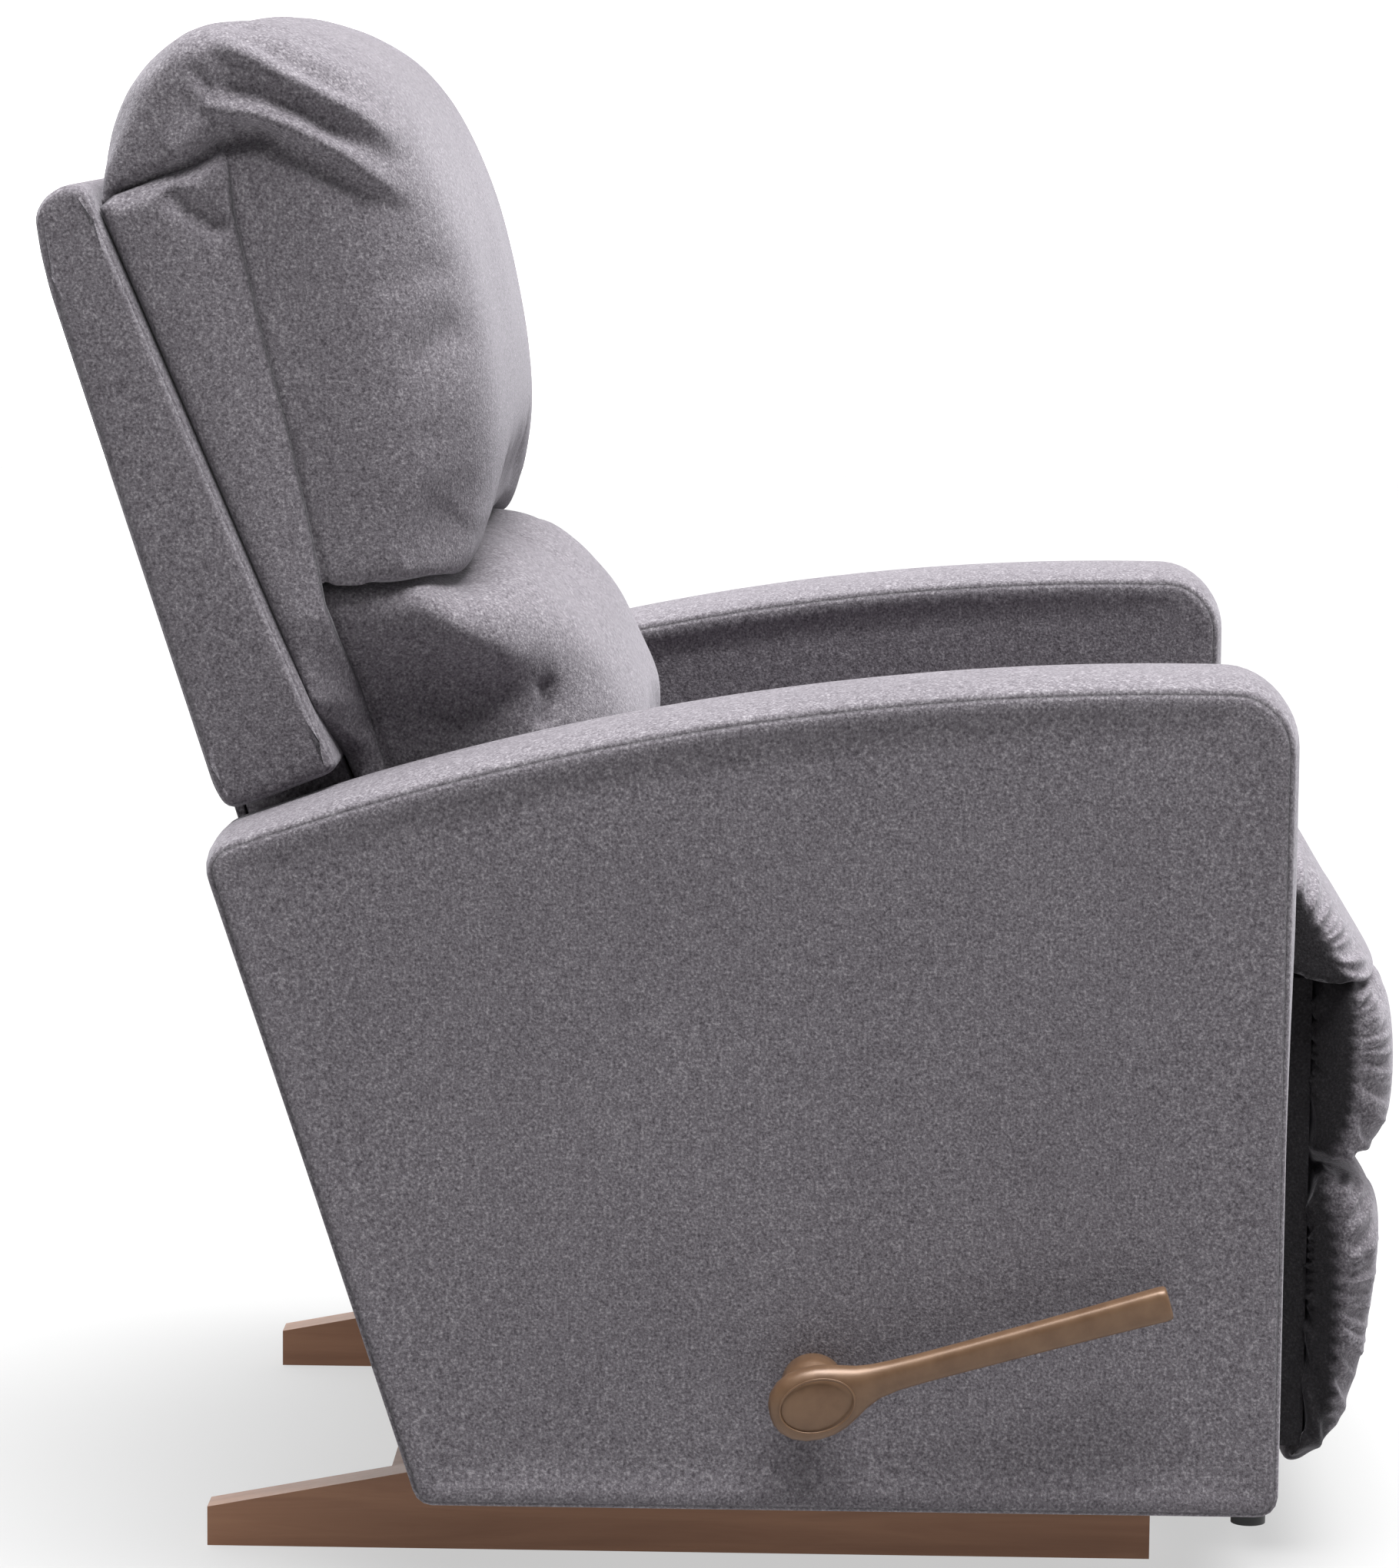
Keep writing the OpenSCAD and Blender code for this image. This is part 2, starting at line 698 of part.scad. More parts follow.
module front_link(side) {
    tip = front_pivot + lower_reach * link_dir;
    upper = front_pivot + upper_reach * link_dir;
    color(steel_c) placed() on_side(side) {
        difference() {
            across(link_in, link_in + link_t) bar_2d(front_pivot, tip, link_w);
            pin(front_pivot, pivot_r + pin_fit, link_in - 1, link_in + layer);
        }
        pin(upper, pin_r, bar_in, link_in + 1);
        pin(tip, pin_r, bar_in, link_in + 1);
    }
}

// A bar from the rear link over the front link to the legrest bracket
module leg_bar(side, reach) {
    at_rear = rear_pivot + reach * link_dir;
    at_front = front_pivot + reach * link_dir;
    at_leg = leg_axis + reach * link_dir;
    color(steel_c) placed() on_side(side) difference() {
        across(bar_in, bar_in + link_t) bar_2d(at_rear, at_leg, link_w);
        pin(at_rear, pin_r + pin_fit, bar_in - 1, bar_in + layer);
        pin(at_front, pin_r + loop_fit, bar_in - 1, bar_in + layer);
        pin(at_leg, pin_r + loop_fit, bar_in - 1, bar_in + layer);
    }
}

module legrest_brackets() {
    upper = leg_axis + upper_reach * link_dir;
    lower = leg_axis + lower_reach * link_dir;
    color(steel_c) placed() both_sides() {
        across(bracket_in, bracket_in + link_t) union() {
            bar_2d(upper, lower, link_w);
            polygon([upper + [0, 10], [board_y, upper[1] + 8], [board_y, lower[1] - 50], lower + [4, -9]]);
        }
        block([bracket_in - 26, bracket_in], [board_y, board_y + 3], [lower[1] - 50, upper[1] + 8]);
        pin(upper, pin_r, bracket_in + 1, bar_in + link_t);
        pin(lower, pin_r, bracket_in + 1, bar_in + link_t);
    }
}

module legrest_board() {
    color(pine_c) placed() block([-bar_in, bar_in], [board_y - board_t, board_y], board_z);
}

// Back

// Rear and front faces of the upholstered back, as y for a given height
back_lean = 0.325;
groove_lean = 0.427;
function back_rear(z) = 328 + (z - 510) * back_lean;
function back_front(z) = 250 + (z - 523) * groove_lean;
// Front of the posts, which the back springs lie on
function post_front(z) = back_front(z) + zigzag_t + 1;
// Rear face of a cushion that rests on the back
function rest(z) = [back_front(z) - cushion_fit, z];

module back_posts() {
    top = back_top_z - back_edge - 2;
    color(pine_c) placed() both_sides() across(post_in, post_out) polygon([
        [222, back_low_z + 2], [back_rear(back_low_z + 2) - back_panel_t - 0.3, back_low_z + 2],
        [back_rear(top) - back_panel_t - 0.3, top], [post_front(top), top],
        [post_front(500), 500], [228, 440]
    ]);
}

// Cross rails of the back frame between the posts: at the foot, in the middle and at the top
back_rail_h = 30;
module back_rails() {
    low = back_low_z + 4;
    high = back_top_z - back_edge - 2 - back_rail_h;
    color(pine_c) placed() for (z = [low, (low + high) / 2, high])
        let (
            front = z == low ? 224 : back_front(z + back_rail_h / 2) + 14,
            rear = back_rear(z) - back_panel_t - 1
        )
        block([-post_in, post_in], [front, rear], [z, z + back_rail_h]);
}

// Padded side of the back, above the arm, and the cloth that hangs from it between the arms
module back_side(side) {
    top = back_top_z;
    low = back_pivot[1] + 68;
    color(fabric_c) placed() on_side(side) {
        across(back_low_w / 2, back_w / 2) polygon([
            [back_front(525), 525], [257, 521], [303, 501], [320, 496], [328, 510], [back_rear(top - 66), top - 66],
            [back_rear(top - 42) - 2, top - 42], [back_rear(top - 19) - 6, top - 19],
            [back_rear(top - 19) - 12, top - 8], [back_rear(top - 19) - 24, top],
            [back_front(top - 11) + 6, top], [back_front(top - 11), top - 11]
        ]);
        across(post_out + 1, back_low_w / 2 + 1) polygon([
            [back_front(low), low], [back_rear(low) - back_panel_t - 1, low],
            [back_rear(560) - back_panel_t - 1, 560], [back_front(560) + 1, 560]
        ]);
    }
}

// Padded top edge between the two sides
module back_top() {
    top = back_top_z;
    low = top - back_edge;
    color(fabric_c) placed() across(-back_low_w / 2, back_low_w / 2) polygon([
        [back_front(low), low], [back_rear(low) - 1, low], [back_rear(top - 19) - 6, top - 19],
        [back_rear(top - 19) - 12, top - 8],
        [back_rear(top - 19) - 24, top], [back_front(top - 11) + 6, top], [back_front(top - 11), top - 11]
    ]);
}

// Panel that closes the rear of the back; its narrow foot stays clear of the seat's side plates
module back_panel() {
    high = back_top_z - back_edge;
    step = push_pin[1] + 40;
    function sheet(z0, z1) = [
        [back_rear(z0), z0], [back_rear(z1), z1], [back_rear(z1) - back_panel_t, z1], [back_rear(z0) - back_panel_t, z0]
    ];
    color(fabric_c) placed() {
        across(-back_low_w / 2, back_low_w / 2) polygon(sheet(step, high));
        across(-post_out + 1, post_out - 1) polygon(sheet(back_low_z, step + 1));
    }
}

module back_springs() {
    slope = atan(1 / groove_lean);
    low = back_pivot[1] + 160;
    high = back_top_z - back_edge - 50;
    color(steel_c) placed() for (z = [low, (low + high) / 2, high])
        translate([-post_in - 10, post_front(z) - zigzag_t / 2 / sin(slope), z]) rotate([slope, 0, 0])
            linear_extrude(zigzag_t, center = true) zigzag_2d(2 * post_in + 20);
}

module back_brackets() {
    color(steel_c) placed() both_sides() {
        difference() {
            across(post_out, back_plate_out) union() {
                bar_2d(back_pivot, push_pin, 28);
                polygon([back_pivot + [-12, 0], back_pivot + [-4, 60], back_pivot + [34, 60], push_pin + [14, 0]]);
            }
            pin(back_pivot, pivot_r + pin_fit, post_out - 1, back_plate_out + 1);
        }
        pin(push_pin, pin_r, back_plate_out - 1, plate_out + 0.5);
    }
}

// Soft pieces

// Closed curve through control points, with n steps from each to the next
function blend_point(a, b, c, d, t) =
    0.5 * ((2 * b) + (c - a) * t + (2 * a - 5 * b + 4 * c - d) * t * t + (3 * b - a - 3 * c + d) * t * t * t);
function smooth_loop(p, n) = [
    for (i = [0:len(p) - 1]) for (k = [0:n - 1])
        blend_point(p[(i + len(p) - 1) % len(p)], p[i], p[(i + 1) % len(p)], p[(i + 2) % len(p)], k / n)
];

// Cushion between two side outlines: mid is its profile in the middle, rim the one at its two sides
module pillow(mid, rim, w, n, steps, fullness) {
    a = smooth_loop(mid, n);
    b = smooth_loop(rim, n);
    size = len(a);
    rings = [
        for (j = [-steps:steps])
            let (s = 90 * j / steps, f = pow(cos(s), fullness), x = w / 2 * sin(s))
            for (i = [0:size - 1]) let (p = b[i] + (a[i] - b[i]) * f) [x, p[0], p[1]]
    ];
    hub = [for (v = b) 1] * b / size;
    caps = [[-w / 2, hub[0], hub[1]], [w / 2, hub[0], hub[1]]];
    first = len(rings);
    last = 2 * steps * size;
    walls = [
        for (j = [0:2 * steps - 1]) for (i = [0:size - 1])
            let (p = j * size + i, q = j * size + (i + 1) % size)
            each [[p, q, q + size], [p, q + size, p + size]]
    ];
    left = [for (i = [0:size - 1]) [first, (i + 1) % size, i]];
    right = [for (i = [0:size - 1]) [first + 1, last + i, last + (i + 1) % size]];
    polyhedron(concat(rings, caps), concat(walls, left, right));
}

head_outline = [
    [166, 652], [159, 690], [156, 735], [164, 795], [186, 878], [221, 942], [264, 976], [312, 992],
    [352, 983], [380, 957], [396, 928], [402.5, 907], [403.6, 897], [402, 889],
    rest(880), rest(680), [300, 657], [285, 651], [220, 648]
];
lumbar_mid = [
    [150, 645], [132, 640], [117, 630], [89, 596], [71, 563], [57, 532], [50, 500], [54, 474],
    [75, 462], [130, 460], [200, 462], [222, 466], rest(490), rest(540), rest(600), rest(632),
    [286, 645], [220, 646]
];
lumbar_rim = [
    [258, 627.5], [254.5, 620], [250, 606], [244, 590], [238, 572], [231, 550], [222, 520], [214, 490],
    [212, 474], [215, 467.5], [219, 466.5], [223, 469], rest(490), rest(540), rest(590), rest(618),
    [289, 629.5], [272, 629]
];
seat_mid = [
    [190, 384], [194, 415], [184, 446], [120, 452], [20, 457], [-120, 464], [-260, 472], [-332, 471],
    [-353, 456], [-356, 420], [-352, 386], [-340, 378], [-322, 376], [-300, 375.8], [0, 375.8],
    [150, 375.8], [172, 376.2], [184, 379]
];
seat_rim = [
    [188, 387], [190, 410], [178, 434], [120, 440], [20, 443], [-120, 447], [-260, 452], [-328, 449],
    [-348, 438], [-352, 415], [-348, 390], [-338, 380], [-322, 376.6], [-300, 376], [0, 375.9],
    [150, 376], [172, 376.6], [183, 380]
];
bridge_mid = [
    [-358.5, 394], [-356.4, 402], [-356.4, 430], [-356.6, 450], [-360, 463], [-367, 468], [-377, 460],
    [-387, 444], [-399, 424], [-410, 405], [-413.5, 393], [-396, 391], [-372, 391.2]
];
bridge_rim = [
    [-356.2, 395], [-354.4, 402], [-354.4, 425], [-355, 436], [-358, 446], [-363, 450], [-371, 444],
    [-380, 430], [-389, 414], [-398, 401], [-400, 393], [-386, 391.6], [-368, 391.6]
];
upper_mid = [
    [-375.5, 378], [-378, 385.5], [-393, 389], [-413, 388.8], [-423, 380], [-429, 360], [-432, 330],
    [-431, 300], [-426, 277], [-417, 265.5], [-402, 261.5], [-388, 261.8], [-378, 265],
    [-375.5, 272], [-375.3, 320]
];
upper_rim = [
    [-375.5, 376], [-377.5, 382.5], [-385, 385.5], [-396, 384], [-404, 375], [-409, 356], [-411, 330],
    [-411, 300], [-407, 281], [-401, 270], [-393, 266], [-384, 265.5], [-377.5, 268.5],
    [-375.5, 275], [-375.3, 320]
];
lower_mid = [
    [-376, 250], [-382, 258.3], [-402, 258.8], [-417, 250], [-424, 228], [-424.5, 198], [-421, 165],
    [-415.5, 131], [-406, 97], [-393, 70], [-378, 56], [-365, 54], [-362, 69], [-375.6, 74],
    [-375.6, 90]
];
lower_rim = [
    [-375.8, 246], [-380, 253.5], [-391, 254], [-400, 246], [-404, 226], [-404.5, 198], [-401, 168],
    [-396, 138], [-389, 112], [-385, 92], [-381, 77], [-372, 67], [-365, 70], [-375.6, 73.8],
    [-375.6, 90]
];

module head_cushion() {
    color(fabric_c) placed() across(-head_w / 2, head_w / 2) polygon(head_outline);
}

module lumbar_cushion() {
    color(fabric_c) placed() pillow(lumbar_mid, lumbar_rim, lumbar_w, 2, 6, 0.55);
}

module seat_cushion() {
    color(fabric_c) placed() pillow(seat_mid, seat_rim, seat_w, 2, 6, 0.5);
}

module chaise_bridge() {
    color(fabric_c) placed() pillow(bridge_mid, bridge_rim, pad_w, 2, 5, 0.5);
}

module legrest_pad_upper() {
    color(fabric_c) placed() pillow(upper_mid, upper_rim, pad_w, 2, 5, 0.5);
}

module legrest_pad_lower() {
    color(fabric_c) placed() pillow(lower_mid, lower_rim, pad_w, 2, 5, 0.5);
}

base_rail(-1);  // base_rail_right
base_rail(1);  // base_rail_left
base_cross_rails();
rocker_strips();
lower_spring_seats();
rocker_springs();
arm_cover(-1);  // arm_cover_right
arm_cover(1);  // arm_cover_left
arm_frame(-1);  // arm_frame_right
arm_frame(1);  // arm_frame_left
side_rail(-1);  // side_rail_right
side_rail(1);  // side_rail_left
rocker_block(-1);  // rocker_block_right
rocker_block(1);  // rocker_block_left
mid_rail();
rear_rail();
front_stretcher();
shaft_bearings();
seat_tracks();
back_pivots();
upper_spring_seats();
front_glides();
rear_apron();
drive_shaft();
handle_lever();
handle_plate();
cranks();
push_rod(-1);  // push_rod_right
push_rod(1);  // push_rod_left
mechanism_plate(-1);  // mechanism_plate_right
mechanism_plate(1);  // mechanism_plate_left
seat_side_boards();
seat_end_boards();
seat_springs();
glide_blocks();
seat_cushion();
chaise_bridge();
rear_link(-1);  // rear_link_right
rear_link(1);  // rear_link_left
front_link(-1);  // front_link_right
front_link(1);  // front_link_left
leg_bar(-1, upper_reach);  // upper_bar_right
leg_bar(1, upper_reach);  // upper_bar_left
leg_bar(-1, lower_reach);  // lower_bar_right
leg_bar(1, lower_reach);  // lower_bar_left
legrest_board();
legrest_brackets();
legrest_pad_upper();
legrest_pad_lower();
back_posts();
back_rails();
back_side(-1);  // back_side_right
back_side(1);  // back_side_left
back_top();
back_panel();
back_springs();
back_brackets();
head_cushion();
lumbar_cushion();
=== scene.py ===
import json
import math

import bpy
import bmesh
import numpy as np
from mathutils import Matrix, Vector


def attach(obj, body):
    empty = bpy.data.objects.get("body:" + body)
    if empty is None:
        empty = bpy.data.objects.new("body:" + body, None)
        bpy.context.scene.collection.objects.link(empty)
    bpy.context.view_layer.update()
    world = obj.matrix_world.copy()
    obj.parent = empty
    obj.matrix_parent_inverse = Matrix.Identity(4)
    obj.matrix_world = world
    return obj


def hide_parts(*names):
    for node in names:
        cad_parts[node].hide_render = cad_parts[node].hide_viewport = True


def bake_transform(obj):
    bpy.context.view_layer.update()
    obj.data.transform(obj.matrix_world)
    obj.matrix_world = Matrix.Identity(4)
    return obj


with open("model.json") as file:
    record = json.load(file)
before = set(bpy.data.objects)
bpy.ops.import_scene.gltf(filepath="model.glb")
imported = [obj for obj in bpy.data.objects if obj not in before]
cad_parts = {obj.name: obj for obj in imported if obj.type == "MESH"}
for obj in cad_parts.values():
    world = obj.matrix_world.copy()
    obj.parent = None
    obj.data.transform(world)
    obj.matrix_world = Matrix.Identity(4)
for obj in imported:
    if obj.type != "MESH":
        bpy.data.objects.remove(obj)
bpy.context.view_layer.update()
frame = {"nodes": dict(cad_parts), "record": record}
MID = 0.02475  # the chair's middle plane, off the origin because the handle counts in the box


# ---------- camera ----------
CAMERA_AT = (-3.8053, -0.060, 0.9819)
CAMERA_LENS = 128.24  # mm, on a sensor 36 mm wide


def place_camera():
    """Camera at the photograph's viewpoint: it looks along +X, slightly down."""
    pitch, turn, roll = 0.132, -0.0232, 0.0086
    forward = Vector((math.cos(turn) * math.cos(pitch), -math.sin(turn) * math.cos(pitch), -math.sin(pitch)))
    flat_right = Vector((-math.sin(turn), -math.cos(turn), 0))
    up = flat_right.cross(forward)
    right = flat_right * math.cos(roll) + up * math.sin(roll)
    up = up * math.cos(roll) - flat_right * math.sin(roll)
    data = bpy.data.cameras.new("camera")
    data.sensor_width = 36
    data.lens = CAMERA_LENS
    data.clip_end = 200
    cam = bpy.data.objects.new("camera", data)
    bpy.context.collection.objects.link(cam)
    rows = Matrix((right, up, -forward)).transposed().to_4x4()
    cam.matrix_world = Matrix.Translation(CAMERA_AT) @ rows
    bpy.context.scene.camera = cam


# ---------- materials ----------
def new_material(name):
    mat = bpy.data.materials.new(name)
    mat.use_nodes = True
    tree = mat.node_tree
    shader = tree.nodes["Principled BSDF"]
    return mat, tree, shader


def node(tree, kind, **values):
    made = tree.nodes.new(kind)
    for key, value in values.items():
        if key in made.inputs:
            made.inputs[key].default_value = value
        else:
            setattr(made, key, value)
    return made


def ramp(tree, stops):
    made = tree.nodes.new("ShaderNodeValToRGB")
    points = made.color_ramp.elements
    while len(points) > 1:
        points.remove(points[-1])
    points[0].position, points[0].color = stops[0][0], (*stops[0][1], 1)
    for place, colour in stops[1:]:
        point = points.new(place)
        point.color = (*colour, 1)
    return made


def fabric(name, shade=1.0):
    """Heathered woven cloth: short light and dark flecks over a slow drift of tone, darkened by painted shade where a
    point attribute asks for it.
    """
    mat, tree, shader = new_material(name)
    link = tree.links.new
    place = tree.nodes.new("ShaderNodeTexCoord")
    fleck = node(tree, "ShaderNodeTexNoise", Scale=560.0, Detail=2.0, Roughness=0.6)
    cloud = node(tree, "ShaderNodeTexNoise", Scale=210.0, Detail=2.0, Roughness=0.5)
    drift = node(tree, "ShaderNodeTexNoise", Scale=9.0, Detail=2.0, Roughness=0.5)
    weave = node(tree, "ShaderNodeTexVoronoi", Scale=780.0)
    for tex in (fleck, cloud, drift, weave):
        link(place.outputs["Object"], tex.inputs["Vector"])
    mix = node(tree, "ShaderNodeMath", operation="MULTIPLY_ADD")
    mix.inputs[1].default_value = 0.35
    link(cloud.outputs[0], mix.inputs[0])
    link(fleck.outputs[0], mix.inputs[2])
    lift = node(tree, "ShaderNodeMath", operation="MULTIPLY_ADD")
    lift.inputs[1].default_value = 0.08
    link(drift.outputs[0], lift.inputs[0])
    link(mix.outputs[0], lift.inputs[2])
    tones = ramp(tree, [
        (0.48, tuple(shade * c for c in (0.056, 0.050, 0.058))),
        (0.64, tuple(shade * c for c in (0.110, 0.100, 0.112))),
        (0.78, tuple(shade * c for c in (0.152, 0.141, 0.156))),
        (0.96, tuple(shade * c for c in (0.270, 0.255, 0.272))),
    ])
    link(lift.outputs[0], tones.inputs[0])
    # Painted shade: a point attribute darkens the cloth by up to 85% in seam grooves and in shaded hollows
    painted_shade = node(tree, "ShaderNodeAttribute", attribute_name="painted_shade")
    dim = node(tree, "ShaderNodeMath", operation="MULTIPLY_ADD")
    dim.inputs[1].default_value = -0.85
    dim.inputs[2].default_value = 1.0
    link(painted_shade.outputs["Fac"], dim.inputs[0])
    darker = node(tree, "ShaderNodeVectorMath", operation="SCALE")
    link(tones.outputs[0], darker.inputs[0])
    link(dim.outputs[0], darker.inputs["Scale"])
    link(darker.outputs[0], shader.inputs["Base Color"])
    bump_a = node(tree, "ShaderNodeBump", Strength=0.55, Distance=0.0007)
    link(fleck.outputs[0], bump_a.inputs["Height"])
    bump_b = node(tree, "ShaderNodeBump", Strength=0.35, Distance=0.0004)
    link(weave.outputs["Distance"], bump_b.inputs["Height"])
    link(bump_a.outputs[0], bump_b.inputs["Normal"])
    link(bump_b.outputs[0], shader.inputs["Normal"])
    shader.inputs["Roughness"].default_value = 0.95
    shader.inputs["Specular IOR Level"].default_value = 0.15
    shader.inputs["Sheen Weight"].default_value = 0.25
    shader.inputs["Sheen Roughness"].default_value = 0.5
    shader.inputs["Sheen Tint"].default_value = (0.8, 0.78, 0.84, 1)
    return mat


def wood(name, dark, light, gloss, scale=1.0):
    """Straight-grained wood: long streaks along Y with fine pores."""
    mat, tree, shader = new_material(name)
    link = tree.links.new
    place = tree.nodes.new("ShaderNodeTexCoord")
    stretch = node(tree, "ShaderNodeMapping")
    stretch.inputs["Scale"].default_value = (70 * scale, 5 * scale, 70 * scale)
    link(place.outputs["Object"], stretch.inputs["Vector"])
    grain = node(tree, "ShaderNodeTexNoise", Scale=1.0, Detail=5.0, Roughness=0.6, Distortion=0.6)
    link(stretch.outputs[0], grain.inputs["Vector"])
    fine = node(tree, "ShaderNodeMapping")
    fine.inputs["Scale"].default_value = (900, 40, 900)
    link(place.outputs["Object"], fine.inputs["Vector"])
    pores = node(tree, "ShaderNodeTexNoise", Scale=1.0, Detail=2.0)
    link(fine.outputs[0], pores.inputs["Vector"])
    tones = ramp(tree, [(0.3, dark), (0.7, light)])
    link(grain.outputs[0], tones.inputs[0])
    link(tones.outputs[0], shader.inputs["Base Color"])
    rough = node(tree, "ShaderNodeMapRange")
    rough.inputs["To Min"].default_value = gloss
    rough.inputs["To Max"].default_value = gloss + 0.18
    link(pores.outputs[0], rough.inputs["Value"])
    link(rough.outputs[0], shader.inputs["Roughness"])
    bump = node(tree, "ShaderNodeBump", Strength=0.25, Distance=0.0003)
    link(pores.outputs[0], bump.inputs["Height"])
    link(bump.outputs[0], shader.inputs["Normal"])
    return mat


def coated(name, colour, worn, gloss, metal=0.0):
    """Painted or moulded surface with a faint mottle and rubbed spots."""
    mat, tree, shader = new_material(name)
    link = tree.links.new
    place = tree.nodes.new("ShaderNodeTexCoord")
    mottle = node(tree, "ShaderNodeTexNoise", Scale=60.0, Detail=4.0, Roughness=0.6)
    speck = node(tree, "ShaderNodeTexNoise", Scale=900.0, Detail=2.0)
    for tex in (mottle, speck):
        link(place.outputs["Object"], tex.inputs["Vector"])
    tones = ramp(tree, [(0.35, colour), (0.75, worn)])
    link(mottle.outputs[0], tones.inputs[0])
    link(tones.outputs[0], shader.inputs["Base Color"])
    rough = node(tree, "ShaderNodeMapRange")
    rough.inputs["To Min"].default_value = gloss
    rough.inputs["To Max"].default_value = gloss + 0.2
    link(mottle.outputs[0], rough.inputs["Value"])
    link(rough.outputs[0], shader.inputs["Roughness"])
    bump = node(tree, "ShaderNodeBump", Strength=0.12, Distance=0.0002)
    link(speck.outputs[0], bump.inputs["Height"])
    link(bump.outputs[0], shader.inputs["Normal"])
    shader.inputs["Metallic"].default_value = metal
    return mat


# ---------- mesh helpers ----------
def add_mesh(name, verts, faces, material, smooth=True):
    mesh = bpy.data.meshes.new(name)
    mesh.from_pydata([tuple(map(float, v)) for v in verts], [], faces)
    mesh.update()
    bm = bmesh.new()
    bm.from_mesh(mesh)
    bmesh.ops.recalc_face_normals(bm, faces=bm.faces)
    bm.to_mesh(mesh)
    bm.free()
    mesh.polygons.foreach_set("use_smooth", [smooth] * len(mesh.polygons))
    mesh.materials.append(material)
    made = bpy.data.objects.new(name, mesh)
    bpy.context.collection.objects.link(made)
    return made


def vertex_values(obj, key):
    out = np.empty(len(obj.data.vertices) * 3)
    obj.data.vertices.foreach_get(key, out)
    return out.reshape(-1, 3)


def positions(obj):
    return vertex_values(obj, "co")


def normals(obj):
    return vertex_values(obj, "normal")


def set_positions(obj, points):
    obj.data.vertices.foreach_set("co", points.reshape(-1))
    obj.data.update()


def rings_to_mesh(name, rings, material):
    """Joins equal rings of points in order and closes both ends with a fan."""
    rings = np.asarray(rings)
    count, size = rings.shape[:2]
    verts = rings.reshape(-1, 3)
    verts = np.vstack([verts, rings[0].mean(0), rings[-1].mean(0)])
    faces = []
    for j in range(count - 1):
        for i in range(size):
            k = (i + 1) % size
            faces.append((j * size + i, j * size + k, (j + 1) * size + k, (j + 1) * size + i))
    first, last = count * size, count * size + 1
    for i in range(size):
        k = (i + 1) % size
        faces.append((first, k, i))
        faces.append((last, (count - 1) * size + i, (count - 1) * size + k))
    return add_mesh(name, verts, faces, material)


def smooth_loop(points, per):
    """Closed curve through the points, with per steps from each to the next."""
    p = np.asarray(points, float)
    a, c, d = np.roll(p, 1, 0), np.roll(p, -1, 0), np.roll(p, -2, 0)
    out = []
    for i in range(len(p)):
        for k in range(per):
            t = k / per
            out.append(0.5 * (2 * p[i] + (c[i] - a[i]) * t + (2 * a[i] - 5 * p[i] + 4 * c[i] - d[i]) * t * t
                              + (3 * p[i] - a[i] - 3 * c[i] + d[i]) * t ** 3))
    return np.array(out)


def spaced(loop, share, n):
    """Points of a closed loop at n even steps of share, which maps a loop's own length to 0..1."""
    closed = np.vstack([loop, loop[:1]])
    at = np.linspace(0, 1, n, endpoint=False)
    return np.stack([np.interp(at, share, closed[:, i]) for i in range(loop.shape[1])], 1)


def run_of(loop):
    """Share of a closed loop's length at each of its points, from 0 to 1."""
    step = np.linalg.norm(np.diff(np.vstack([loop, loop[:1]]), axis=0), axis=1)
    return np.concatenate([[0], np.cumsum(step)]) / step.sum()


def outline_normals(loop):
    """Outward normals of a closed 2-D loop."""
    t = np.roll(loop, -1, 0) - np.roll(loop, 1, 0)
    n = np.stack([t[:, 1], -t[:, 0]], 1)
    n /= np.linalg.norm(n, axis=1)[:, None]
    area = 0.5 * np.sum(loop[:, 0] * np.roll(loop[:, 1], -1) - np.roll(loop[:, 0], -1) * loop[:, 1])
    return n if area > 0 else -n


def to_path(points, path):
    """Distance of 2-D points from an open path, the side they lie on, and how far along it they are, 0 to 1."""
    path = np.asarray(path, float)
    best = np.full(len(points), 1e9)
    side = np.zeros(len(points))
    along = np.zeros(len(points))
    length = np.linalg.norm(np.diff(path, axis=0), axis=1)
    start = np.concatenate([[0], np.cumsum(length)])
    for i in range(len(path) - 1):
        d = path[i + 1] - path[i]
        t = np.clip(((points - path[i]) @ d) / (d @ d), 0, 1)
        gap = points - (path[i] + t[:, None] * d)
        dist = np.linalg.norm(gap, axis=1)
        near = dist < best
        best[near] = dist[near]
        side[near] = np.sign(d[0] * gap[:, 1] - d[1] * gap[:, 0])[near]
        along[near] = ((start[i] + t * length[i]) / start[-1])[near]
    return best, side, along


def bell(x, width):
    """1 where x is 0, falling off over width to both sides."""
    return np.exp(-(x / width) ** 2)


def ease(x, low, high):
    """0 below low and 1 above high, with a smooth step between them."""
    t = np.clip((x - low) / (high - low), 0, 1)
    return t * t * (3 - 2 * t)


def paint_shade(obj, values):
    """Stores how much painted shade darkens the cloth at each point, from 0 to 1, in seam grooves and shaded hollows.
    """
    obj.data.attributes.new("painted_shade", "FLOAT", "POINT").data.foreach_set("value", values)


def across_chair(x, profile):
    """Points of a side outline at one place across the chair, measured from its middle."""
    return np.column_stack([np.full(len(profile), MID + x), profile])


def finish_piece(obj, body, slot, *replaced, fill=None):
    """Hangs a piece on the body it rides on and hides the CAD nodes it stands for; slot and fill are not used."""
    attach(obj, body)
    if replaced:
        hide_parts(*replaced)


CLOTH = fabric("heather_cloth")
